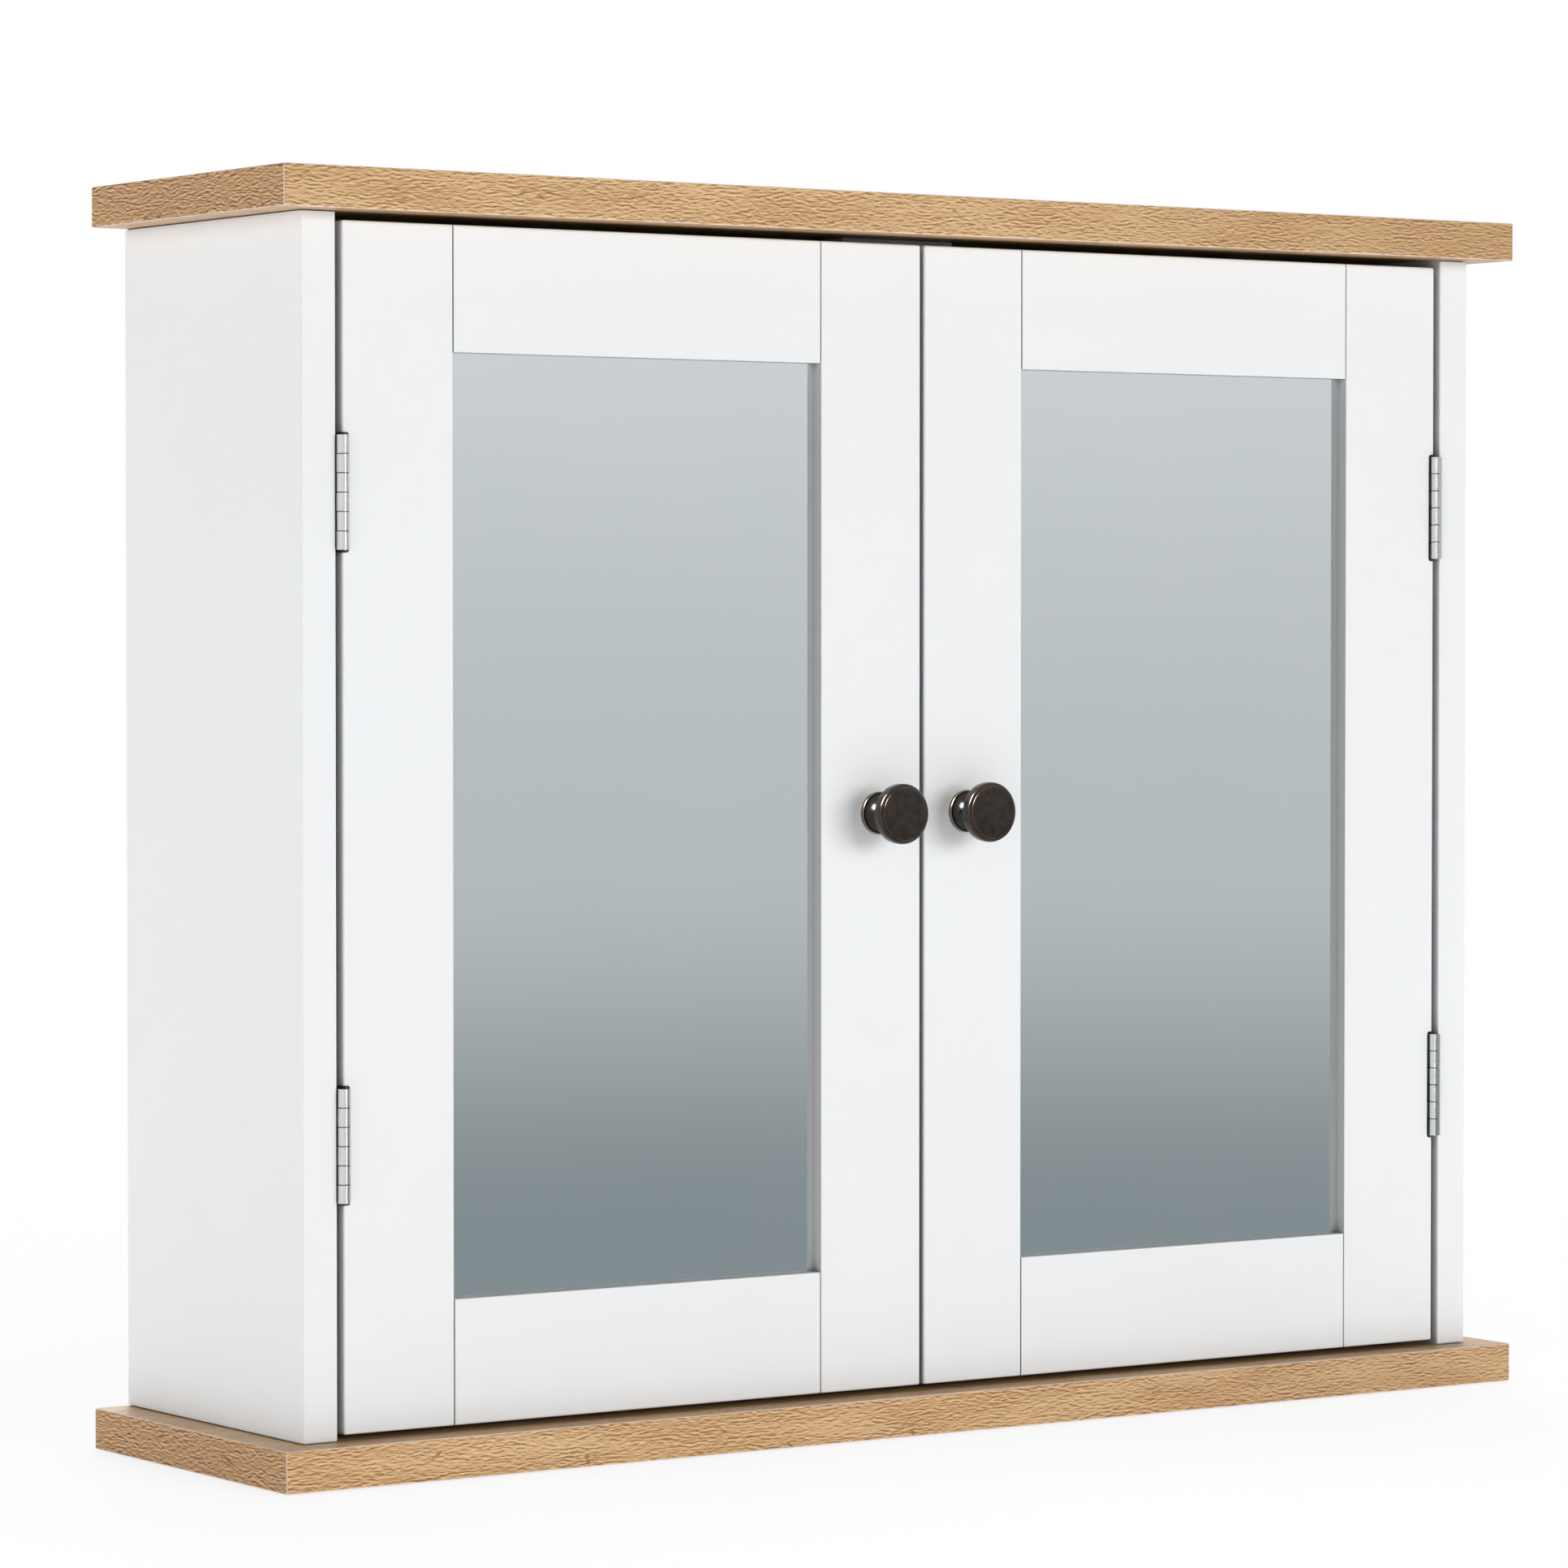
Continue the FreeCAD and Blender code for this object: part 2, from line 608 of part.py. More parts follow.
def catch_screws():
    """Screws up through the ears into the top board."""
    return [
        flat_head_screw(
            place,
            UP,
            CATCH_SCREW_HEAD_RADIUS,
            CATCH_SCREW_HEAD_HEIGHT,
            CATCH_SCREW_RADIUS,
            CATCH_SCREW_LENGTH,
        )
        for place in catch_screw_places(CASE_TOP - CATCH_EAR_THICK)
    ]


# Hinges

def knuckle_limits(hinge, index):
    """Lower and upper end of one knuckle, counted from the foot of the hinge."""
    foot = HINGE_FEET[hinge] + index * KNUCKLE_PITCH
    return foot + KNUCKLE_GAP / 2, foot + KNUCKLE_PITCH - KNUCKLE_GAP / 2


def hinge_leaf(hinge, plate_x, first_knuckle, screw_face, screw_direction):
    """Leaf plate rolled into every second knuckle, cleared for the other leaf's knuckles."""
    lowest = knuckle_limits(hinge, 0)[0]
    highest = knuckle_limits(hinge, KNUCKLE_COUNT - 1)[1]
    plate_start = AXIS_Y + HINGE_RADIUS + KNUCKLE_ROOM
    plate_end = AXIS_Y + HINGE_LEAF_REACH
    solids = []
    for index in range(first_knuckle, KNUCKLE_COUNT, 2):
        foot, head = knuckle_limits(hinge, index)
        solids.append(rod(Vector(AXIS_X, AXIS_Y, foot), UP, HINGE_RADIUS, head - foot))
        solids.append(block(plate_x, (AXIS_Y, plate_start), (foot, head)))
    bore = rod(Vector(AXIS_X, AXIS_Y, lowest), UP, HINGE_BORE_RADIUS, highest - lowest)
    holes = [
        countersunk_hole(
            Vector(screw_face, HINGE_SCREW_Y, level),
            screw_direction,
            HINGE_SCREW_HEAD_RADIUS,
            HINGE_SCREW_RADIUS,
            HINGE_LEAF_THICK,
        )
        for level in hinge_screw_levels(hinge)
    ]
    plate = block(plate_x, (plate_start, plate_end), (lowest, highest))
    return plate.fuse(solids).removeSplitter().cut([bore] + holes)


def frame_leaf(hinge):
    """Leaf on the inner face of the right side panel."""
    return hinge_leaf(hinge, (FRAME_LEAF_FACE, CASE_INNER), 0, FRAME_LEAF_FACE, RIGHT)


def door_leaf(hinge):
    """Leaf in the notch of the right door's edge."""
    return hinge_leaf(hinge, (DOOR_LEAF_SEAT, DOOR_LEAF_FACE), 1, DOOR_LEAF_FACE, LEFT)


def hinge_pin(hinge):
    """Pin through all the knuckles, flush with the barrel's ends."""
    lowest = knuckle_limits(hinge, 0)[0]
    highest = knuckle_limits(hinge, KNUCKLE_COUNT - 1)[1]
    return rod(Vector(AXIS_X, AXIS_Y, lowest), UP, HINGE_BORE_RADIUS - PIN_FIT, highest - lowest)


def hinge_screws(face, direction):
    """The four screws of the right-hand leaves on one side of the gap."""
    return [
        countersunk_screw(place, direction, HINGE_SCREW_HEAD_RADIUS, HINGE_SCREW_RADIUS, HINGE_SCREW_LENGTH)
        for place in hinge_screw_places(face)
    ]


def notch(hinge):
    """Cutters for a hinge in the door's edge: a pocket for the barrel and a seat for the leaf."""
    foot = HINGE_FEET[hinge] - NOTCH_END_ROOM
    head = HINGE_FEET[hinge] + HINGE_LENGTH + NOTCH_END_ROOM
    pocket_rear = AXIS_Y + HINGE_RADIUS + KNUCKLE_ROOM
    pocket = block(
        (DOOR_LEAF_SEAT - NOTCH_SIDE_ROOM, CASE_INNER),
        (DOOR_FRONT - NOTCH_CORNER, pocket_rear),
        (foot, head),
    )
    pocket = eased(
        pocket,
        NOTCH_CORNER,
        lambda edge: runs_along(edge, REARWARD) and edge.CenterOfMass.x < DOOR_OUTER,
    )
    seat = block((DOOR_LEAF_SEAT, CASE_INNER), (pocket_rear, DOOR_REAR), (foot, head))
    return [pocket, seat]


# Doors

def stile(x, outer):
    """Upright of the right door's frame, grooved on its inner edge for glass, backing and tenons."""
    inner = x[0] if outer == x[1] else x[1]
    solid = block(x, (DOOR_FRONT, DOOR_REAR), (DOOR_FOOT, DOOR_TOP))
    solid = eased(
        solid, FRAME_OUTER_EASE, lambda edge: abs(edge.CenterOfMass.x - inner) > FRAME_OUTER_EASE
    )
    solid = eased(
        solid,
        FRAME_INNER_EASE,
        lambda edge: runs_along(edge, UP) and abs(edge.CenterOfMass.x - inner) < FRAME_INNER_EASE,
    )
    toward = math.copysign(GROOVE_DEPTH, outer - inner)
    groove_x = sorted((inner, inner + toward))
    return solid.cut(block(groove_x, (GROOVE_FRONT, GROOVE_REAR), (DOOR_FOOT, DOOR_TOP)))


def hinge_stile():
    """Outer upright with the hinge notches and their pilot holes."""
    solid = stile((WINDOW_X[1], DOOR_OUTER), DOOR_OUTER)
    cutters = [cutter for hinge in HINGE_FEET for cutter in notch(hinge)]
    for place in hinge_screw_places(DOOR_LEAF_FACE):
        cutters.append(rod(place, LEFT, HINGE_SCREW_RADIUS + HOLE_ROOM, HINGE_SCREW_LENGTH + BORE_END_ROOM))
    return solid.cut(cutters)


def meeting_stile():
    """Upright beside the other door, bored for the knob and the strike plate."""
    solid = stile((DOOR_INNER, WINDOW_X[0]), DOOR_INNER)
    knob_bore = rod(Vector(KNOB_X, DOOR_FRONT, KNOB_Z), REARWARD, KNOB_SCREW_RADIUS + HOLE_ROOM, DOOR_THICK)
    pilot = rod(
        Vector(MAGNET_SPACING / 2, DOOR_REAR + STRIKE_THICK, MAGNET_CENTRE),
        FORWARD,
        CATCH_SCREW_RADIUS + HOLE_ROOM,
        STRIKE_SCREW_LENGTH + BORE_END_ROOM,
    )
    return solid.cut([knob_bore, pilot])


def rail(foot, outer):
    """Cross rail of the right door's frame: a groove, and at each end a joint line and a stub tenon."""
    head = foot + FRAME_WIDTH
    inner = foot if outer == head else head
    solid = block(WINDOW_X, (DOOR_FRONT, DOOR_REAR), (foot, head))
    solid = eased(
        solid,
        FRAME_OUTER_EASE,
        lambda edge: runs_along(edge, RIGHT) and abs(edge.CenterOfMass.z - outer) < FRAME_OUTER_EASE,
    )
    solid = eased(
        solid,
        FRAME_INNER_EASE,
        lambda edge: runs_along(edge, UP)
        or runs_along(edge, RIGHT) and abs(edge.CenterOfMass.z - inner) < FRAME_INNER_EASE,
    )
    line_y = (DOOR_FRONT, DOOR_FRONT + JOINT_LINE_DEPTH)
    solid = solid.cut([
        block((WINDOW_X[0], WINDOW_X[0] + JOINT_LINE_WIDTH), line_y, (foot, head)),
        block((WINDOW_X[1] - JOINT_LINE_WIDTH, WINDOW_X[1]), line_y, (foot, head)),
    ])
    solid = eased(
        solid,
        JOINT_LINE_EASE,
        lambda edge: runs_along(edge, UP) and abs(edge.CenterOfMass.y - DOOR_FRONT) < JOINT_LINE_EASE,
    )
    toward = math.copysign(1, outer - inner)
    groove_z = sorted((inner, inner + toward * GROOVE_DEPTH))
    groove = block(WINDOW_X, (GROOVE_FRONT, GROOVE_REAR), groove_z)
    reach = GROOVE_DEPTH - TENON_GAP
    tenon_y = (GROOVE_FRONT, GROOVE_REAR - GROOVE_SLACK / 2)
    tenon_z = sorted((inner + toward * GROOVE_DEPTH, outer - toward * FRAME_OUTER_EASE))
    tenon = block((WINDOW_X[0] - reach, WINDOW_X[1] + reach), tenon_y, tenon_z)
    return solid.cut(groove).fuse(tenon).removeSplitter()


def pane(front, thick):
    """Sheet held all round in the frame's groove."""
    reach = GROOVE_DEPTH - GLASS_EDGE_GAP
    return block(
        (WINDOW_X[0] - reach, WINDOW_X[1] + reach),
        (front, front + thick),
        (WINDOW_Z[0] - reach, WINDOW_Z[1] + reach),
    )


def knob():
    """Turned knob: flanged foot, slender neck, round-rimmed head and a raised, slightly crowned face."""
    face_edge = KNOB_PROJECTION - KNOB_CROWN
    face_foot = face_edge - KNOB_FACE_ROUND - KNOB_FACE_STEP
    head_back = face_edge - KNOB_HEAD_THICK
    rim_radius = KNOB_HEAD_RADIUS - KNOB_RIM_ROUND
    rim_front = face_foot - KNOB_RIM_ROUND
    face_flat = KNOB_FACE_RADIUS - KNOB_FACE_ROUND
    crown_span = face_flat - KNOB_FLAT_RADIUS
    crown_radius = (crown_span ** 2 + KNOB_CROWN ** 2) / (2 * KNOB_CROWN)
    crown_middle = KNOB_PROJECTION - crown_radius + math.sqrt(crown_radius ** 2 - crown_span ** 2 / 4)
    diagonal = math.sqrt(0.5)

    def point(radius, height):
        return Vector(radius, 0, height)

    def quarter(centre_radius, centre_height, bend, rise):
        """Middle of a quarter round about a centre, on its upper or lower side."""
        return point(centre_radius + bend * diagonal, centre_height + rise * bend * diagonal)

    flange_radius = KNOB_BASE_RADIUS - KNOB_FLANGE_ROUND
    flange_edge = KNOB_FLANGE - KNOB_FLANGE_ROUND
    back_radius = KNOB_HEAD_RADIUS - KNOB_BACK_ROUND
    corners = {
        "axis_foot": point(0, 0),
        "flange_foot": point(KNOB_BASE_RADIUS, 0),
        "flange_edge": point(KNOB_BASE_RADIUS, flange_edge),
        "flange_top": point(flange_radius, KNOB_FLANGE),
        "neck_foot": point(flange_radius - KNOB_SHOULDER, KNOB_FLANGE),
        "neck_head": point(KNOB_BACK_RADIUS, head_back),
        "back_edge": point(back_radius, head_back),
        "rim_back": point(KNOB_HEAD_RADIUS, head_back + KNOB_BACK_ROUND),
        "rim_front": point(KNOB_HEAD_RADIUS, rim_front),
        "face_foot": point(rim_radius, face_foot),
        "face_side": point(KNOB_FACE_RADIUS, face_foot + KNOB_FACE_STEP),
        "face_edge": point(face_flat, face_edge),
        "flat_edge": point(KNOB_FLAT_RADIUS, KNOB_PROJECTION),
        "axis_face": point(0, KNOB_PROJECTION),
    }
    bends = {
        ("flange_edge", "flange_top"): quarter(flange_radius, flange_edge, KNOB_FLANGE_ROUND, 1),
        ("neck_foot", "neck_head"): point(KNOB_NECK_RADIUS, KNOB_FLANGE + KNOB_NECK_RISE),
        ("back_edge", "rim_back"): quarter(back_radius, head_back + KNOB_BACK_ROUND, KNOB_BACK_ROUND, -1),
        ("rim_front", "face_foot"): quarter(rim_radius, rim_front, KNOB_RIM_ROUND, 1),
        ("face_side", "face_edge"): quarter(face_flat, face_edge - KNOB_FACE_ROUND, KNOB_FACE_ROUND, 1),
        ("face_edge", "flat_edge"): point(KNOB_FLAT_RADIUS + crown_span / 2, crown_middle),
    }
    names = list(corners)
    edges = []
    for start, end in zip(names, names[1:] + names[:1]):
        if (start, end) in bends:
            curve = Part.Arc(corners[start], bends[start, end], corners[end])
        else:
            curve = Part.LineSegment(corners[start], corners[end])
        edges.append(curve.toShape())
    foot = Vector(KNOB_X, DOOR_FRONT, KNOB_Z)
    solid = turned(Part.Face(Part.Wire(edges)), foot, FORWARD)
    return solid.cut(rod(foot, FORWARD, KNOB_SCREW_RADIUS + HOLE_ROOM, KNOB_SCREW_BITE + BORE_END_ROOM))


def knob_screw():
    """Machine screw from inside the door into the knob."""
    seat = Vector(KNOB_X, DOOR_REAR, KNOB_Z)
    return flat_head_screw(
        seat,
        FORWARD,
        KNOB_SCREW_HEAD_RADIUS,
        KNOB_SCREW_HEAD_HEIGHT,
        KNOB_SCREW_RADIUS,
        DOOR_THICK + KNOB_SCREW_BITE,
    )


def strike_plate():
    """Steel plate on the rear of the meeting stile, opposite its magnet."""
    centre = Vector(MAGNET_SPACING / 2, DOOR_REAR + STRIKE_THICK, MAGNET_CENTRE)
    solid = block(
        (centre.x - STRIKE_WIDTH / 2, centre.x + STRIKE_WIDTH / 2),
        (DOOR_REAR, centre.y),
        (centre.z - STRIKE_HEIGHT / 2, centre.z + STRIKE_HEIGHT / 2),
    )
    hole = countersunk_hole(centre, FORWARD, STRIKE_SCREW_HEAD_RADIUS, CATCH_SCREW_RADIUS, STRIKE_THICK)
    return solid.cut(hole)


def strike_screw():
    """Countersunk screw through the strike plate."""
    centre = Vector(MAGNET_SPACING / 2, DOOR_REAR + STRIKE_THICK, MAGNET_CENTRE)
    return countersunk_screw(
        centre, FORWARD, STRIKE_SCREW_HEAD_RADIUS, CATCH_SCREW_RADIUS, STRIKE_SCREW_LENGTH
    )


# Assembly

def case_nodes():
    """Pieces of the case that have no twin of their own."""
    return {
        "top_board": [top_board()],
        "bottom_board": [board(CASE_FOOT, DOWN)],
        "back_panel": [back_panel()],
        "back_panel_screws": back_panel_screws(),
        "hanging_rail": [hanging_rail()],
        "hanging_rail_dowels": hanging_rail_dowels(),
        "corner_dowels": corner_dowels(),
        "cam_discs": cam_discs(),
        "cam_bolts": cam_bolts(),
        "shelf": [shelf()],
        "shelf_pins": shelf_pins(),
        "catch_housing": [catch_housing()],
        "catch_magnets": catch_magnets(),
        "catch_pole_plates": catch_pole_plates(),
        "catch_screws": catch_screws(),
        "frame_leaf_screws": both_sides(hinge_screws(FRAME_LEAF_FACE, RIGHT)),
    }


def handed_nodes():
    """Pieces on the right that have a mirror twin on the left."""
    nodes = {
        "side_panel": [side_panel()],
        "hinge_stile": [hinge_stile()],
        "meeting_stile": [meeting_stile()],
        "top_rail": [rail(WINDOW_Z[1], DOOR_TOP)],
        "bottom_rail": [rail(DOOR_FOOT, DOOR_FOOT)],
        "mirror": [pane(GROOVE_FRONT, GLASS_THICK)],
        "mirror_backing": [pane(GROOVE_FRONT + GLASS_THICK, BACKING_THICK)],
        "knob": [knob()],
        "knob_screw": [knob_screw()],
        "strike_plate": [strike_plate()],
        "strike_screw": [strike_screw()],
        "door_leaf_screws": hinge_screws(DOOR_LEAF_FACE, LEFT),
    }
    for hinge in HINGE_FEET:
        nodes[hinge + "_frame_leaf"] = [frame_leaf(hinge)]
        nodes[hinge + "_door_leaf"] = [door_leaf(hinge)]
        nodes[hinge + "_hinge_pin"] = [hinge_pin(hinge)]
    return nodes


def write_node(name, solids):
    """Write one node's solids to its file."""
    shape = solids[0] if len(solids) == 1 else Part.makeCompound(solids)
    shape.exportStep(os.path.join("parts", name + ".step"))


def main():
    """Draw every piece and write one file per node."""
    os.makedirs("parts", exist_ok=True)
    for name, solids in case_nodes().items():
        write_node(name, solids)
    for name, solids in handed_nodes().items():
        write_node("right_" + name, solids)
        write_node("left_" + name, [mirrored(solid) for solid in solids])


main()
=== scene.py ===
"""Looks of a white mirror cabinet between two oak-effect boards.

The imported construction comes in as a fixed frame. Every node keeps its shape and gets a finish,
the screws are drawn again with cross recesses and threads, and a plain pale studio is set up
round the object. Lengths are in metres unless a name or a docstring says millimetres.
"""

from __future__ import annotations

import json
import logging
import math
from abc import ABC, abstractmethod
from dataclasses import dataclass, field
from enum import Enum
from typing import Any, Dict, Iterable, List, Mapping, Optional, Sequence, Tuple, Union

import bmesh
import bpy
from mathutils import Matrix, Vector
from mathutils.geometry import tessellate_polygon

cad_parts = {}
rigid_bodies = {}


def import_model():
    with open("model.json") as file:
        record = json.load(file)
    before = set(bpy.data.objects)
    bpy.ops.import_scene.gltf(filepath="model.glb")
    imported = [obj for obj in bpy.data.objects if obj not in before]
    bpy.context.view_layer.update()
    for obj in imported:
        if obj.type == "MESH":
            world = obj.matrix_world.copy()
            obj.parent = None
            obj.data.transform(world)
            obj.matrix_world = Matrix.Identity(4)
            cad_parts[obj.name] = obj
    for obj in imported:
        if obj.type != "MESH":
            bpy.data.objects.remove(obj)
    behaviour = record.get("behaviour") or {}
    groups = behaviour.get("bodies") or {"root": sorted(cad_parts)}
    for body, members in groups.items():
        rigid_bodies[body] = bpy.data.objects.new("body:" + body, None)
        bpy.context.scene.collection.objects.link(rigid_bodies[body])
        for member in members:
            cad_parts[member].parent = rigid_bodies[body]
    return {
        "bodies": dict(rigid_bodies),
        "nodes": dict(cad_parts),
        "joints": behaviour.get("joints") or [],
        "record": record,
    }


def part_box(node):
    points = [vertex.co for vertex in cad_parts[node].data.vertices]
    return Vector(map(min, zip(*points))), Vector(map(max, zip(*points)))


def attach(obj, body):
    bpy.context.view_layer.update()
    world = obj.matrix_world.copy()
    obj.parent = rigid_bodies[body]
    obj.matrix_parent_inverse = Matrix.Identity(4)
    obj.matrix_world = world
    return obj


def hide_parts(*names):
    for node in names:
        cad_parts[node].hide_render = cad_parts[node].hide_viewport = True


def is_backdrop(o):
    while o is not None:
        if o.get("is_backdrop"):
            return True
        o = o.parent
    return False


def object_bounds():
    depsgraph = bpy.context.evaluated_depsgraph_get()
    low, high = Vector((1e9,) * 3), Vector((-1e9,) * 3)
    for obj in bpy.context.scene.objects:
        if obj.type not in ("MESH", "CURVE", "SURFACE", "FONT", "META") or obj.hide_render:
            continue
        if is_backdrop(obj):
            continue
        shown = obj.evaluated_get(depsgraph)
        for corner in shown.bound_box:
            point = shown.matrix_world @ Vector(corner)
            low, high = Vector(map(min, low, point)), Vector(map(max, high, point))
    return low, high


LOG = logging.getLogger("mirror_cabinet")
MM = 0.001
WHITE = (1.0, 1.0, 1.0)
BLACK = (0.0, 0.0, 0.0)

Colour = Tuple[float, float, float]
Point = Tuple[float, float, float]
Span = Tuple[float, float]
Frame = Dict[str, Any]


class Side(Enum):
    """A side of the cabinet as seen from the front."""

    LEFT = "left"
    RIGHT = "right"


class Level(Enum):
    """Height of a hinge on its door."""

    UPPER = "upper"
    LOWER = "lower"


class Slot(Enum):
    """The record's material slots, named beside the finish of each redrawn piece."""

    HINGE_STEEL = "hinge_steel"
    ZINC_STEEL = "zinc_steel"


class HeadShape(Enum):
    """Form of a screw's head."""

    COUNTERSUNK = "countersunk"
    FLAT = "flat"


class BareSide(Enum):
    """The face of a thin board that has no white facing, as a direction along Y."""

    FRONT = -1.0
    REAR = 1.0


class Throw(Enum):
    """What a lamp gives: light on matt surfaces, a glint in polished ones, or both."""

    BOTH = "both"
    MATT = "matt"
    GLINT = "glint"


def display_colour(red: int, green: int, blue: int) -> Colour:
    """Turn an 8-bit display colour into the linear values that a shader takes.

    Args:
        red: Red from 0 to 255.
        green: Green from 0 to 255.
        blue: Blue from 0 to 255.

    Returns:
        The linear red, green and blue.
    """
    def linear(level: int) -> float:
        """Undo the display curve of one channel."""
        share = level / 255.0
        return share / 12.92 if share <= 0.04045 else ((share + 0.055) / 1.055) ** 2.4

    return linear(red), linear(green), linear(blue)


# Shader expressions

class Term:
    """A node socket that takes part in Python arithmetic."""

    def __init__(self, tree: ShaderTree, socket: bpy.types.NodeSocket) -> None:
        """Hold a socket and the tree that it belongs to."""
        self.tree = tree
        self.socket = socket

    def _joined(self, operation: str, first: Operand, second: Operand) -> Term:
        """Add the Math node of an operation, or the Vector Math node where a vector takes part.

        Args:
            operation: Name of the node's operation.
            first: First operand.
            second: Second operand.

        Returns:
            The node's result.
        """
        terms = [item for item in (first, second) if isinstance(item, Term)]
        is_vector = any(term.socket.type == "VECTOR" for term in terms)
        kind = "ShaderNodeVectorMath" if is_vector else "ShaderNodeMath"
        return self.tree.add(kind, {"operation": operation}, {0: first, 1: second})

    def __add__(self, other: Operand) -> Term:
        """This term plus another."""
        return self._joined("ADD", self, other)

    def __radd__(self, other: Operand) -> Term:
        """A number plus this term."""
        return self._joined("ADD", other, self)

    def __sub__(self, other: Operand) -> Term:
        """This term less another."""
        return self._joined("SUBTRACT", self, other)

    def __rsub__(self, other: Operand) -> Term:
        """A number less this term."""
        return self._joined("SUBTRACT", other, self)

    def __mul__(self, other: Operand) -> Term:
        """This term times another."""
        return self._joined("MULTIPLY", self, other)

    def __rmul__(self, other: Operand) -> Term:
        """A number times this term."""
        return self._joined("MULTIPLY", other, self)

    def __truediv__(self, other: Operand) -> Term:
        """This term divided by another."""
        return self._joined("DIVIDE", self, other)

    def __rtruediv__(self, other: Operand) -> Term:
        """A number divided by this term."""
        return self._joined("DIVIDE", other, self)

    def __abs__(self) -> Term:
        """This term without its sign."""
        return self.tree.add("ShaderNodeMath", {"operation": "ABSOLUTE"}, {0: self})


Operand = Union[Term, float, Sequence[float]]


class ShaderTree:
    """The node tree of a material or of the world, filled by expressions."""

    def __init__(self, owner: Union[bpy.types.Material, bpy.types.World]) -> None:
        """Empty the tree of a material or world.

        Args:
            owner: The material or world.
        """
        owner.use_nodes = True
        self.tree = owner.node_tree
        self.tree.nodes.clear()

    def add(
        self,
        kind: str,
        settings: Optional[Mapping[str, Any]] = None,
        sockets: Optional[Mapping[Union[int, str], Operand]] = None,
        output: Union[int, str] = 0,
    ) -> Term:
        """Add a node, set it up and feed its sockets.

        Args:
            kind: The node's type.
            settings: The node's own settings, which are set first.
            sockets: Values or links of its input sockets, by name or place.
            output: The output socket that is wanted, by name or place.

        Returns:
            The wanted output.
        """
        node = self.tree.nodes.new(kind)
        for name, value in (settings or {}).items():
            setattr(node, name, value)
        for key, value in (sockets or {}).items():
            self._feed(node.inputs[key], value)
        return Term(self, node.outputs[output]) if node.outputs else Term(self, node.inputs[0])

    def _feed(self, socket: bpy.types.NodeSocket, value: Operand) -> None:
        """Link a term to a socket, or set the socket to a number, vector or colour.

        Args:
            socket: The input socket.
            value: What it takes.
        """
        if isinstance(value, Term):
            self.tree.links.new(value.socket, socket)
        elif socket.type == "VECTOR" and isinstance(value, (int, float)):
            socket.default_value = (value, value, value)
        elif socket.type == "RGBA":
            socket.default_value = (*value, 1.0)
        else:
            socket.default_value = value

    def place_mm(self) -> Term:
        """Place on the piece in millimetres, which rides with the piece."""
        return self.add("ShaderNodeTexCoord", output="Object") * (1.0 / MM)

    def facing(self) -> Term:
        """Direction that the surface faces, which rides with the piece."""
        return self.add("ShaderNodeTexCoord", output="Normal")

    def split(self, vector: Term) -> Tuple[Term, Term, Term]:
        """Take a vector apart.

        Args:
            vector: The vector.

        Returns:
            Its three parts.
        """
        first = self.add("ShaderNodeSeparateXYZ", sockets={0: vector})
        parts = first.socket.node.outputs
        return first, Term(self, parts[1]), Term(self, parts[2])

    def join(self, x: Operand, y: Operand, z: Operand) -> Term:
        """Put three values together as a vector."""
        return self.add("ShaderNodeCombineXYZ", sockets={0: x, 1: y, 2: z})

    def noise(self, vector: Term, detail: float = 1.0, roughness: float = 0.5) -> Term:
        """Soft random values from 0 to 1 with a grain of one unit and some finer layers."""
        sockets = {"Vector": vector, "Scale": 1.0, "Detail": detail, "Roughness": roughness}
        return self.add("ShaderNodeTexNoise", {"noise_dimensions": "3D"}, sockets)

    def rise(self, value: Term, span: Span) -> Term:
        """Smooth step from 0 at a span's first value to 1 at its second, which may be the smaller."""
        sockets = {"Value": value, "From Min": span[0], "From Max": span[1]}
        return self.add("ShaderNodeMapRange", {"interpolation_type": "SMOOTHSTEP"}, sockets)

    def blend(self, share: Operand, first: Operand, second: Operand) -> Term:
        """Mix two colours by the share of the second."""
        settings = {"data_type": "RGBA", "clamp_factor": True}
        return self.add("ShaderNodeMix", settings, {0: share, 6: first, 7: second}, output=2)

    def larger(self, first: Operand, second: Operand) -> Term:
        """The larger of two values."""
        return self.add("ShaderNodeMath", {"operation": "MAXIMUM"}, {0: first, 1: second})

    def length(self, first: Term, second: Term) -> Term:
        """Length of the slope with two given legs."""
        legs = self.join(first, second, 0.0)
        return self.add("ShaderNodeVectorMath", {"operation": "LENGTH"}, {0: legs}, output="Value")

    def bump(self, height_mm: Term) -> Term:
        """Surface direction over a relief whose height is in millimetres."""
        sockets = {"Strength": 1.0, "Distance": MM, "Height": height_mm}
        return self.add("ShaderNodeBump", sockets=sockets)

    def unscattered(self) -> Term:
        """One for rays that have not been scattered by a matt surface."""
        depth = self.add("ShaderNodeLightPath", output="Diffuse Depth")
        return self.add("ShaderNodeMath", {"operation": "LESS_THAN"}, {0: depth, 1: 0.5})

    def openness(self, reach_mm: float) -> Term:
        """Free share of the surroundings within a reach, 1 on an open face and near 0 in a gap."""
        sockets = {"Distance": MM * reach_mm}
        return self.add("ShaderNodeAmbientOcclusion", {"samples": 6}, sockets, output="AO")

    def gap_shade(self, reach_mm: float, span: Span, own_share: float) -> Term:
        """Painted shade for a gap, put into the base colour: whole for the light that is passed on and in
        part for what shows.
        """
        narrow = self.rise(self.openness(reach_mm), span)
        return narrow * (1.0 - (1.0 - own_share) * self.unscattered())

    def seen(self) -> Term:
        """Tell the rays that end in the picture, straight or by way of metal and glass.

        Returns:
            One for such rays and 0 for others.
        """
        paths = self.add("ShaderNodeLightPath", output="Is Camera Ray")
        flags = paths.socket.node.outputs
        glossy = Term(self, flags["Is Glossy Ray"])
        through = Term(self, flags["Is Transmission Ray"])
        return self.unscattered() * self.larger(self.larger(paths, glossy), through)

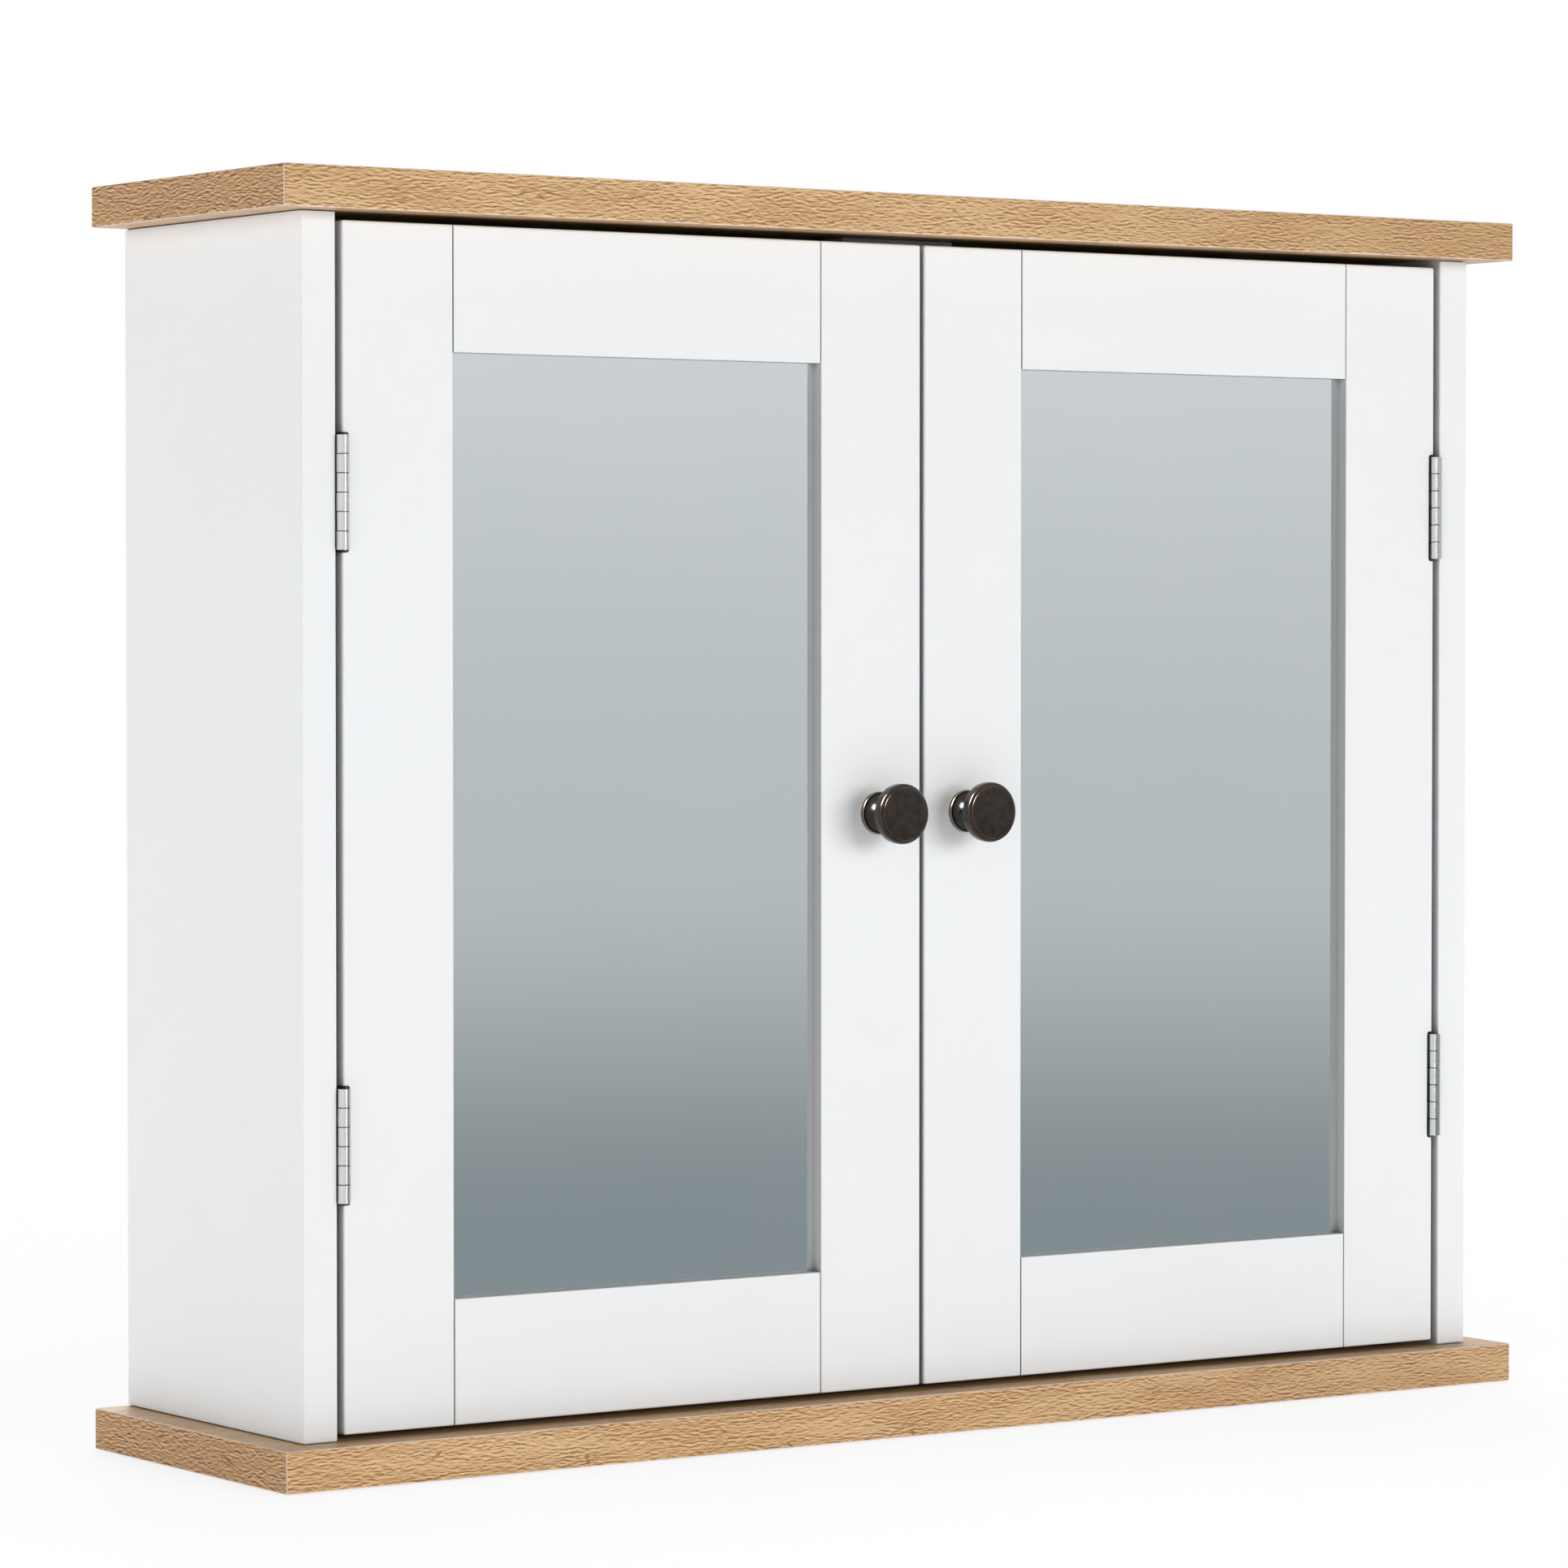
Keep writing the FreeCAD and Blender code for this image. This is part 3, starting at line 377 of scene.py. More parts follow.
    def surface(self, sockets: Mapping[str, Operand]) -> None:
        """Close a material with the general shader."""
        self.close(self.add("ShaderNodeBsdfPrincipled", sockets=sockets))

    def close(self, shader: Term) -> None:
        """Make a shader the surface of a material."""
        self.add("ShaderNodeOutputMaterial", sockets={"Surface": shader})


# Finishes

class Finish(ABC):
    """A surface finish that makes its material once."""

    name: str

    def material(self) -> bpy.types.Material:
        """Give the finish's material.

        Returns:
            The material, made at the first call.
        """
        made = bpy.data.materials.get(self.name)
        if made is None:
            made = bpy.data.materials.new(self.name)
            self.paint(ShaderTree(made))
        return made

    @abstractmethod
    def paint(self, tree: ShaderTree) -> None:
        """Fill the material's tree."""


@dataclass(frozen=True)
class SatinPaint(Finish):
    """Sprayed satin white on board, faintly clouded, with a fine peel and painted shade in narrow gaps."""

    name: str = "satin_white_paint"
    cool: Colour = display_colour(240, 242, 244)
    warm: Colour = display_colour(237, 238, 238)
    # Painted shade: the dark colour that narrow gaps are given in place of the shade that falls in them.
    gap: Colour = display_colour(36, 37, 39)
    gap_shade_mm: float = 5.0
    gap_shade_span: Span = (0.68, 0.12)
    gap_shade_own: float = 0.60
    cloud_mm: float = 90.0
    peel_mm: float = 1.1
    peel_depth_mm: float = 0.0035
    sheen: float = 0.44
    sheen_spread: float = 0.10
    gleam: float = 0.20

    def paint(self, tree: ShaderTree) -> None:
        """Fill the material's tree.

        Args:
            tree: The material's tree.
        """
        place = tree.place_mm()
        cloud = tree.noise(place / self.cloud_mm, detail=3.0)
        peel = tree.noise(place / self.peel_mm)
        white = tree.blend(cloud, self.cool, self.warm)
        # Painted shade: the base colour goes towards the dark gap colour where ambient occlusion finds a
        # narrow gap.
        shade = tree.gap_shade(self.gap_shade_mm, self.gap_shade_span, self.gap_shade_own)
        tree.surface({
            "Base Color": tree.blend(shade, white, self.gap),
            "Roughness": self.sheen + self.sheen_spread * (cloud - 0.5),
            "Specular IOR Level": self.gleam,
            "Normal": tree.bump(self.peel_depth_mm * peel),
        })


@dataclass(frozen=True)
class Grain:
    """A layer of figure in wood: length and width of its marks, and where and how finely it is drawn."""

    long_mm: float
    wide_mm: float
    cut: float
    detail: float = 0.0


@dataclass(frozen=True)
class OakEffect(Finish):
    """Printed and embossed oak foil, with its grain along X on the board and along Y at the ends.

    Fields that end in shares hold a value for the long faces and one for the ends.
    """

    name: str = "oak_effect_foil"
    pale: Colour = display_colour(218, 180, 134)
    tan: Colour = display_colour(198, 156, 109)
    rosy: Colour = display_colour(203, 156, 110)
    # Partly pale print, partly painted highlight: the light flank beside each dark mark, as if the emboss
    # were lit.
    crest_print_and_highlight: Colour = display_colour(240, 205, 160)
    pore: Colour = display_colour(94, 54, 12)
    # Pale line on every rounded edge: partly the foil's pale edge, partly painted highlight.
    arris_edge_and_highlight: Colour = display_colour(240, 226, 216)
    end_shade: Colour = display_colour(174, 126, 76)
    dull: Colour = display_colour(140, 106, 74)
    end_span: Span = (0.60, 0.80)
    end_share: float = 0.80
    arris_span: Span = (0.985, 0.80)
    arris_share: float = 0.80
    dull_span_mm: Span = (-60.0, 300.0)
    dull_least: float = 0.05
    dull_gain: float = 0.21
    sway: Grain = Grain(16.0, 7.0, 3.1, 1.0)
    sway_mm: float = 1.7
    sway_shares: Span = (0.55, 1.50)
    tone: Grain = Grain(60.0, 9.0, 11.3, 3.0)
    tone_span: Span = (0.30, 0.66)
    flush: Grain = Grain(18.0, 2.6, 23.7, 2.0)
    rosy_span: Span = (0.50, 0.72)
    rosy_share: float = 0.50
    mark: Grain = Grain(3.8, 0.86, 31.9, 2.0)
    flank_mm: float = 0.48
    relief_span: Span = (0.34, 0.66)
    relief_least: float = 0.70
    relief_gain: float = 0.60
    groove_span: Span = (0.01, 0.20)
    groove_shares: Span = (0.62, 0.86)
    crest_span: Span = (0.03, -0.20)
    crest_shares: Span = (0.80, 0.64)
    crack: Grain = Grain(30.0, 2.4, 59.4)
    crack_slopes: Tuple[float, ...] = (0.36, -0.42)
    crack_span: Span = (0.018, 0.005)
    patch: Grain = Grain(30.0, 12.0, 71.8)
    patch_span: Span = (0.68, 0.71)
    emboss_mm: float = 0.05
    sheen: float = 0.34
    pore_sheen: float = 0.14
    gleam: float = 0.25

    def paint(self, tree: ShaderTree) -> None:
        """Fill the material's tree.

        Args:
            tree: The material's tree.
        """
        x, y, z = tree.split(tree.place_mm())
        face_x, face_y, face_z = (abs(part) for part in tree.split(tree.facing()))
        end = tree.rise(face_x, self.end_span)
        along = x + end * (y - x)
        across = y + end * (x - y) + z

        def by_face(shares: Span) -> Term:
            """The first share on the long faces and the second on the ends."""
            return shares[0] + (shares[1] - shares[0]) * end

        def figure(layer: Grain, offset: Operand = 0.0, draw: int = 0) -> Term:
            """Random values of a layer, moved across by millimetres and drawn anew by number."""
            point = tree.join(along / layer.long_mm, (across + offset) / layer.wide_mm, layer.cut + draw)
            return tree.noise(point, detail=layer.detail)

        sway = by_face(self.sway_shares) * (self.sway_mm * (figure(self.sway) - 0.5))
        tone = figure(self.tone, sway)
        flush = figure(self.flush, sway)
        upper, lower = (figure(self.mark, sway + offset) for offset in (0.0, self.flank_mm))
        strength = self.relief_least + self.relief_gain * tree.rise(flush, self.relief_span)
        relief = (upper - lower) * strength
        groove = tree.rise(relief, self.groove_span)
        # The light flank of each mark, partly pale print and partly painted highlight.
        crest_print_and_highlight = tree.rise(relief, self.crest_span)
        for draw, slope in enumerate(self.crack_slopes):
            crack = abs(figure(self.crack, -slope * along, draw) - 0.5)
            patch = figure(self.patch, draw=draw)
            cut = tree.rise(crack, self.crack_span) * tree.rise(patch, self.patch_span)
            groove = tree.larger(groove, cut)
        flat = tree.larger(tree.larger(face_x, face_y), face_z)
        dulling = self.dull_least + self.dull_gain * tree.rise(x, self.dull_span_mm)
        wood = tree.blend(tree.rise(tone, self.tone_span), self.pale, self.tan)
        wood = tree.blend(self.rosy_share * tree.rise(flush, self.rosy_span), wood, self.rosy)
        wood = tree.blend(self.end_share * end, wood, self.end_shade)
        wood = tree.blend(by_face(self.crest_shares) * crest_print_and_highlight, wood, self.crest_print_and_highlight)
        wood = tree.blend(by_face(self.groove_shares) * groove, wood, self.pore)
        wood = tree.blend(dulling, wood, self.dull)
        # Rounded edges go pale: partly the foil's pale edge, partly painted highlight.
        wood = tree.blend(self.arris_share * tree.rise(flat, self.arris_span), wood, self.arris_edge_and_highlight)
        tree.surface({
            "Base Color": wood,
            "Roughness": self.sheen + self.pore_sheen * groove,
            "Specular IOR Level": self.gleam,
            "Normal": tree.bump(self.emboss_mm * (1.0 - groove)),
        })


@dataclass(frozen=True)
class Silvering(Finish):
    """Float glass silvered behind, all but flat, with the faintest haze."""

    name: str = "silvered_glass"
    clear: Colour = display_colour(242, 245, 245)
    hazy: Colour = display_colour(238, 242, 242)
    haze_mm: float = 60.0
    gloss: float = 0.010
    gloss_spread: float = 0.012

    def paint(self, tree: ShaderTree) -> None:
        """Fill the material's tree.

        Args:
            tree: The material's tree.
        """
        haze = tree.noise(tree.place_mm() / self.haze_mm, detail=4.0)
        tree.surface({
            "Base Color": tree.blend(haze, self.clear, self.hazy),
            "Metallic": 1.0,
            "Roughness": self.gloss + self.gloss_spread * haze,
        })


@dataclass(frozen=True)
class Hardboard(Finish):
    """Thin hardboard, white on the face that shows and bare and brown on the other."""

    bare_side: BareSide
    white: Colour = display_colour(233, 234, 233)
    white_worn: Colour = display_colour(226, 227, 225)
    brown: Colour = display_colour(158, 118, 82)
    dark_brown: Colour = display_colour(116, 82, 55)
    straw: Colour = display_colour(190, 152, 110)
    bare_span: Span = (-0.2, 0.2)
    cloud_mm: float = 55.0
    fibre_mm: Point = (1.5, 1.5, 4.0)
    fibre_span: Span = (0.30, 0.70)
    fibre_share: float = 0.5
    fibre_depth_mm: float = 0.02
    mottle_mm: float = 20.0
    mottle_span: Span = (0.32, 0.68)
    mottle_share: float = 0.2
    fleck_mm: Point = (5.0, 1.2, 1.2)
    fleck_span: Span = (0.60, 0.74)
    fleck_share: float = 0.6
    screen_mm: float = 1.3
    screen_depth_mm: float = 0.06
    screen_share: float = 0.1
    sheen: float = 0.48
    bare_sheen: float = 0.3

    @property
    def name(self) -> str:
        """Name of the material."""
        return f"hardboard_bare_{self.bare_side.name.lower()}"

    def paint(self, tree: ShaderTree) -> None:
        """Fill the material's tree.

        Args:
            tree: The material's tree.
        """
        place = tree.place_mm()
        x, _, z = tree.split(place)
        bare = tree.rise(self.bare_side.value * tree.split(tree.facing())[1], self.bare_span)
        turns = math.tau / self.screen_mm

        def wave(part: Term) -> Term:
            """One direction of the press screen's weave."""
            return tree.add("ShaderNodeMath", {"operation": "SINE"}, {0: turns * part})

        weave = bare * wave(x) * wave(z)
        fibre = tree.noise(place / self.fibre_mm, detail=4.0, roughness=0.7)
        cloud = tree.noise(place / self.cloud_mm, detail=3.0)
        mottle = tree.rise(tree.noise(place / self.mottle_mm, detail=4.0), self.mottle_span)
        fleck = tree.rise(tree.noise(place / self.fleck_mm, detail=1.0), self.fleck_span)
        darkening = self.fibre_share * tree.rise(fibre, self.fibre_span)
        darkening = darkening + self.mottle_share * mottle + self.screen_share * weave
        raw = tree.blend(darkening, self.brown, self.dark_brown)
        raw = tree.blend(self.fleck_share * fleck, raw, self.straw)
        facing = tree.blend(cloud, self.white, self.white_worn)
        tree.surface({
            "Base Color": tree.blend(bare, facing, raw),
            "Roughness": self.sheen + self.bare_sheen * bare,
            "Normal": tree.bump(self.screen_depth_mm * weave + self.fibre_depth_mm * fibre),
        })


@dataclass(frozen=True)
class NickelPlate(Finish):
    """Satin nickel on the hinges, with fine upright brush marks and dark painted shade in the seams between
    the knuckles and other tight gaps.
    """

    name: str = "satin_nickel"
    bright: Colour = display_colour(222, 222, 221)
    dull: Colour = display_colour(202, 202, 200)
    # Painted shade: the dark colour that seams and tight gaps are given.
    seam_shade: Colour = display_colour(40, 40, 40)
    seam_shade_mm: float = 1.2
    seam_shade_span: Span = (0.60, 0.20)
    brush_mm: Point = (0.30, 0.30, 16.0)
    gloss: float = 0.16
    gloss_spread: float = 0.10

    def paint(self, tree: ShaderTree) -> None:
        """Fill the material's tree.

        Args:
            tree: The material's tree.
        """
        brush = tree.noise(tree.place_mm() / self.brush_mm, detail=2.0)
        # Painted shade: the plating goes dark where ambient occlusion finds a seam or tight gap.
        seam_shade = tree.rise(tree.openness(self.seam_shade_mm), self.seam_shade_span)
        plate = tree.blend(brush, self.bright, self.dull)
        tree.surface({
            "Base Color": tree.blend(seam_shade, plate, self.seam_shade),
            "Metallic": 1.0,
            "Roughness": self.gloss + self.gloss_spread * brush,
        })


@dataclass(frozen=True)
class ZincPlate(Finish):
    """Bright zinc on screws and fittings, clouded blue and straw."""

    name: str = "bright_zinc"
    blue: Colour = display_colour(196, 203, 210)
    straw: Colour = display_colour(208, 205, 192)
    cloud_mm: float = 2.4
    cloud_span: Span = (0.35, 0.65)
    gloss: float = 0.26
    gloss_spread: float = 0.18

    def paint(self, tree: ShaderTree) -> None:
        """Fill the material's tree.

        Args:
            tree: The material's tree.
        """
        cloud = tree.noise(tree.place_mm() / self.cloud_mm, detail=3.0)
        tree.surface({
            "Base Color": tree.blend(tree.rise(cloud, self.cloud_span), self.blue, self.straw),
            "Metallic": 1.0,
            "Roughness": self.gloss + self.gloss_spread * cloud,
        })


@dataclass(frozen=True)
class DarkBronze(Finish):
    """Dark bronze knob, rubbed through to warm metal on its edges, with pale lines on the flange's edge and
    the head's back edge that are partly worn metal and partly painted highlight, under a thin lacquer.

    The spans are in millimetres, along Y from the knob's face, or outwards from the head's or the
    flange's radius.
    """

    axis_x_mm: float
    axis_z_mm: float
    face_y_mm: float
    head_radius_mm: float
    flange_radius_mm: float
    name: str = "antique_dark_bronze"
    brown: Colour = display_colour(58, 46, 37)
    dark: Colour = display_colour(34, 28, 24)
    recess: Colour = display_colour(24, 21, 19)
    worn: Colour = display_colour(106, 86, 68)
    # Colour of the pale lines on the flange's edge and the head's back edge: partly worn metal, partly
    # painted highlight.
    bare: Colour = display_colour(158, 148, 130)
    front_span: Span = (3.2, 1.6)
    behind_span: Span = (4.4, 4.9)
    rubbed_from_span: Span = (-2.60, -1.43)
    rubbed_to_span: Span = (-0.90, -1.30)
    back_edge_highlight_span: Span = (-0.60, -0.15)
    foot_highlight_from_span: Span = (-0.45, -0.10)
    foot_highlight_to_span: Span = (1.50, 1.00)
    neck_span: Span = (-0.40, -0.70)
    blotch_mm: float = 3.5
    blotch_span: Span = (0.35, 0.68)
    patch_mm: float = 9.0
    patch_span: Span = (0.42, 0.62)
    speckle_mm: float = 0.6
    worn_share: float = 0.4
    bare_and_highlight_share: float = 0.5
    back_edge_highlight_share: float = 0.7
    metal: float = 0.6
    metal_gain: float = 0.3
    gloss: float = 0.20
    gloss_spread: float = 0.08
    lacquer: float = 0.22
    lacquer_spread: float = 0.20
    lacquer_gloss: float = 0.03

    def paint(self, tree: ShaderTree) -> None:
        """Fill the material's tree.

        Args:
            tree: The material's tree.
        """
        place = tree.place_mm()
        x, y, z = tree.split(place)
        depth = y - self.face_y_mm
        radius = tree.length(abs(x) - self.axis_x_mm, z - self.axis_z_mm)
        past_head = radius - self.head_radius_mm
        past_flange = radius - self.flange_radius_mm
        blotch = tree.noise(place / self.blotch_mm, detail=3.0)
        speckle = tree.noise(place / self.speckle_mm, detail=2.0)
        patch = tree.rise(tree.noise(place / self.patch_mm, detail=2.0), self.patch_span)
        ring = tree.rise(past_head, self.rubbed_from_span) * tree.rise(past_head, self.rubbed_to_span)
        worn = ring * tree.rise(depth, self.front_span) * patch
        behind = tree.rise(depth, self.behind_span)
        # Pale lines round the flange's front edge and the head's back edge, partly worn metal and partly
        # painted highlight.
        foot = tree.rise(past_flange, self.foot_highlight_from_span) * tree.rise(past_flange, self.foot_highlight_to_span)
        back_edge_highlight = tree.rise(past_head, self.back_edge_highlight_span)
        bare = behind * tree.larger(foot, self.back_edge_highlight_share * back_edge_highlight)
        neck = behind * tree.rise(past_flange, self.neck_span)
        patina = tree.blend(tree.rise(blotch, self.blotch_span), self.brown, self.dark)
        patina = tree.blend(neck, patina, self.recess)
        patina = tree.blend(self.worn_share * worn, patina, self.worn)
        tree.surface({
            "Base Color": tree.blend(self.bare_and_highlight_share * bare, patina, self.bare),
            "Metallic": self.metal + self.metal_gain * tree.larger(worn, bare),
            "Roughness": self.gloss + self.gloss_spread * speckle,
            "Coat Weight": self.lacquer + self.lacquer_spread * blotch,
            "Coat Roughness": self.lacquer_gloss,
        })


@dataclass(frozen=True)
class BareBeech(Finish):
    """Bare beech of the dowels, pale with short flecks."""

    name: str = "bare_beech"
    pale: Colour = display_colour(222, 190, 152)
    tan: Colour = display_colour(196, 158, 118)
    fleck: Colour = display_colour(150, 108, 74)
    tone_mm: float = 6.0
    tone_depth_mm: float = 0.02
    fleck_mm: float = 0.7
    fleck_span: Span = (0.60, 0.72)
    fleck_share: float = 0.5
    sheen: float = 0.62
    sheen_spread: float = 0.1

    def paint(self, tree: ShaderTree) -> None:
        """Fill the material's tree.

        Args:
            tree: The material's tree.
        """
        place = tree.place_mm()
        tone = tree.noise(place / self.tone_mm, detail=3.0)
        fleck = tree.rise(tree.noise(place / self.fleck_mm, detail=2.0), self.fleck_span)
        ground = tree.blend(tone, self.pale, self.tan)
        tree.surface({
            "Base Color": tree.blend(self.fleck_share * fleck, ground, self.fleck),
            "Roughness": self.sheen + self.sheen_spread * tone,
            "Normal": tree.bump(self.tone_depth_mm * tone),
        })


@dataclass(frozen=True)
class MouldedPlastic(Finish):
    """White moulded plastic of the catch, with a fine spark-eroded grain, grey with painted shade where it
    sits in a slot.
    """

    name: str = "moulded_white_plastic"
    white: Colour = display_colour(232, 232, 229)
    shade: Colour = display_colour(222, 222, 218)
    # Painted shade: the dark colour that the plastic is given deep in its slot.
    slot: Colour = display_colour(16, 16, 16)
    slot_shade_mm: float = 14.0
    slot_shade_span: Span = (0.50, 0.20)
    slot_shade_own: float = 0.80
    cloud_mm: float = 14.0
    grain_mm: float = 0.35
    grain_depth_mm: float = 0.006
    sheen: float = 0.40
    sheen_spread: float = 0.12

    def paint(self, tree: ShaderTree) -> None:
        """Fill the material's tree.

        Args:
            tree: The material's tree.
        """
        place = tree.place_mm()
        cloud = tree.noise(place / self.cloud_mm, detail=2.0)
        grain = tree.noise(place / self.grain_mm, detail=1.0)
        # Painted shade: the plastic goes towards the dark slot colour where ambient occlusion finds it
        # hemmed in.
        slot = tree.gap_shade(self.slot_shade_mm, self.slot_shade_span, self.slot_shade_own)
        plastic = tree.blend(cloud, self.white, self.shade)
        tree.surface({
            "Base Color": tree.blend(slot, plastic, self.slot),
            "Roughness": self.sheen + self.sheen_spread * grain,
            "Normal": tree.bump(self.grain_depth_mm * grain),
        })


@dataclass(frozen=True)
class Ferrite(Finish):
    """Pressed ferrite of the magnets, dark grey and speckled."""

    name: str = "pressed_ferrite"
    dark: Colour = display_colour(46, 46, 48)
    speck: Colour = display_colour(86, 86, 88)
    speck_mm: float = 0.5
    speck_span: Span = (0.52, 0.70)
    speck_depth_mm: float = 0.01
    sheen: float = 0.55
    speck_gloss: float = 0.15

    def paint(self, tree: ShaderTree) -> None:
        """Fill the material's tree.

        Args:
            tree: The material's tree.
        """
        speck = tree.rise(tree.noise(tree.place_mm() / self.speck_mm, detail=2.0), self.speck_span)
        tree.surface({
            "Base Color": tree.blend(speck, self.dark, self.speck),
            "Roughness": self.sheen - self.speck_gloss * speck,
            "Normal": tree.bump(self.speck_depth_mm * speck),
        })


def dress(frame: Frame, finish: Finish, nodes: Iterable[str]) -> None:
    """Give nodes of the frame a finish.

    Args:
        frame: The loaded frame.
        finish: The finish.
        nodes: Names of the nodes.
    """
    for node in nodes:
        materials = frame["nodes"][node].data.materials
        materials.clear()
        materials.append(finish.material())
        LOG.info("%s: %s", node, finish.name)


# Screws

@dataclass(frozen=True)
class ScrewForm:
    """One kind of screw, in millimetres, drawn with its head at the origin and its tip below.

    The reach is longer than the screw and shorter than the way to the next one. Each ring of a flat
    head has its inset and its drop as shares of the head's depth.
    """

    head: HeadShape
    head_radius: float
    head_depth: float
    shank_radius: float
    pitch: float
    reach: float
    blunt: bool = False
    point: float = 2.5
    point_share: float = 0.06
    blunt_point: float = 0.4
    blunt_share: float = 0.75
    thread_gap: float = 0.3
    thread_share: float = 0.28
    thread_slope: float = 3.2
    rim: float = 0.06
    flat_rings: Tuple[Span, ...] = ((0.50, 0.0), (0.22, 0.10), (0.05, 0.32), (0.0, 0.56), (0.0, 1.0))
    end_band: float = 0.3
    arm_share: float = 0.56
    arm_width_share: float = 0.15
    recess_share: float = 0.75
    recess_taper: float = 0.55
    segments: int = 24
    rings_per_turn: int = 5
    cross_turn_radians: float = 0.7
    sharp_degrees: float = 34.0

    def redraw(self, frame: Frame, node: str, body: str, slot: Slot, finish: Finish) -> bpy.types.Object:
        """Draw a node's screws in full, in the node's place.

        Args:
            frame: The loaded frame.
            node: The node whose plain screws are replaced.
            body: The body that they ride.
            slot: The record's slot of their finish; not used.
            finish: The finish itself.

        Returns:
            One object with all the screws of the node.
        """
        shape = bmesh.new()
        for index, (place, length) in enumerate(self.places(frame["nodes"][node])):
            turn = Matrix.Rotation(self.cross_turn_radians * index, 4, "Z")
            self.add_screw(shape, place @ turn, length)
        bmesh.ops.recalc_face_normals(shape, faces=shape.faces)
        mesh = bpy.data.meshes.new(f"{node}_crosshead")
        shape.to_mesh(mesh)
        shape.free()
        mesh.shade_smooth()
        mesh.set_sharp_from_angle(angle=math.radians(self.sharp_degrees))
        mesh.materials.append(finish.material())
        piece = bpy.data.objects.new(mesh.name, mesh)
        bpy.context.scene.collection.objects.link(piece)
        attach(piece, body)
        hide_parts(node)
        LOG.info("%s: drawn in place of %s", piece.name, node)
        return piece

    def places(self, piece: bpy.types.Object) -> List[Tuple[Matrix, float]]:
        """Find the screws of a node.

        Args:
            piece: The node's object.

        Returns:
            For each screw the place of its head, turned so that its tip lies along -Z, and its length in mm.
        """
        groups: List[List[Vector]] = []
        for vertex in piece.data.vertices:
            near = [group for group in groups if (group[0] - vertex.co).length < MM * self.reach]
            if near:
                near[0].append(vertex.co)
            else:
                groups.append([vertex.co])
        return [self.place_of(group) for group in groups]

    def place_of(self, points: List[Vector]) -> Tuple[Matrix, float]:
        """Find where one screw stands from the points of its plain solid.

        Args:
            points: The solid's points.

        Returns:
            The place of its head, turned so that its tip lies along -Z, and its length in mm.
        """
        low = Vector([min(point[axis] for point in points) for axis in range(3)])
        high = Vector([max(point[axis] for point in points) for axis in range(3)])
        middle = (low + high) / 2
        axis = max(range(3), key=lambda index: high[index] - low[index])
        others = [index for index in range(3) if index != axis]

        def girth(level: float) -> float:
            """Largest distance from the axis of the points near a level."""
            near = [point for point in points if abs(point[axis] - level) < MM * self.end_band]
            return max(math.hypot(*(point[index] - middle[index] for index in others)) for point in near)

        head_is_high = girth(high[axis]) > girth(low[axis])
        head = middle.copy()
        head[axis] = high[axis] if head_is_high else low[axis]
        direction = Vector((0.0, 0.0, 0.0))
        direction[axis] = -1.0 if head_is_high else 1.0
        turn = Vector((0.0, 0.0, -1.0)).rotation_difference(direction)
        return Matrix.Translation(head) @ turn.to_matrix().to_4x4(), (high[axis] - low[axis]) / MM

    def head_outline(self) -> List[Tuple[float, float]]:
        """Radius and height of the head's rings, from its top edge down to the shank.

        Returns:
            The rings in millimetres.
        """
        radius = self.head_radius
        depth = self.head_depth
        shank = (self.shank_radius, -depth)
        if self.head is HeadShape.COUNTERSUNK:
            return [(radius - self.rim, 0.0), (radius, -self.rim), shank]
        return [(radius - inset * depth, -drop * depth) for inset, drop in self.flat_rings] + [shank]

    def thread_rings(self, length: float) -> List[List[Vector]]:
        """Rings of the threaded shank down to its tip.

        Args:
            length: Length of the whole screw in millimetres.

        Returns:
            The rings, each a list of points in millimetres.
        """
        start = self.head_depth + self.thread_gap
        taper = self.blunt_point if self.blunt else self.point
        end_share = self.blunt_share if self.blunt else self.point_share
        count = int((length - start) / self.pitch * self.rings_per_turn)
        rings = []
        for index in range(count + 1):
            depth = start + (length - start) * index / count
            slim = min(1.0, end_share + (1.0 - end_share) * (length - depth) / taper)
            ring = []
            for segment in range(self.segments):
                angle = math.tau * segment / self.segments
                turn = (depth / self.pitch + segment / self.segments) % 1.0
                ridge = max(0.0, 1.0 - self.thread_slope * abs(turn - 0.5))
                radius = self.shank_radius * (1.0 - self.thread_share * (1.0 - ridge)) * slim
                ring.append(Vector((radius * math.cos(angle), radius * math.sin(angle), -depth)))
            rings.append(ring)
        return rings

    def recess_outline(self, share: float, depth: float) -> List[Vector]:
        """Outline of the cross recess at a depth.

        Args:
            share: Size of the cross there as a share of its size at the top.
            depth: Depth in millimetres.

        Returns:
            Twelve corners.
        """
        long = share * self.arm_share * self.head_outline()[0][0]
        wide = share * self.arm_width_share * self.head_radius
        corner = [(long, -wide), (long, wide), (wide, wide)]
        outline = []
        for quarter in range(4):
            turn = Matrix.Rotation(quarter * math.pi / 2, 3, "Z")
            outline.extend(turn @ Vector((across, up, -depth)) for across, up in corner)
        return outline

    def add_screw(self, shape: bmesh.types.BMesh, place: Matrix, length: float) -> None:
        """Add one screw to a mesh.

        Args:
            shape: The mesh under construction.
            place: Place and turn of the screw.
            length: Its length in millimetres.
        """
        def points(ring: Iterable[Vector]) -> List[bmesh.types.BMVert]:
            """Add a ring's points in the place of the screw."""
            return [shape.verts.new(place @ (MM * point)) for point in ring]

        def band(upper: List[bmesh.types.BMVert], lower: List[bmesh.types.BMVert]) -> None:
            """Join two rings of the same number of points.

            Args:
                upper: Points of the upper ring.
                lower: Points of the lower ring.
            """
            for index, corner in enumerate(upper):
                following = (index + 1) % len(upper)
                shape.faces.new((corner, upper[following], lower[following], lower[index]))

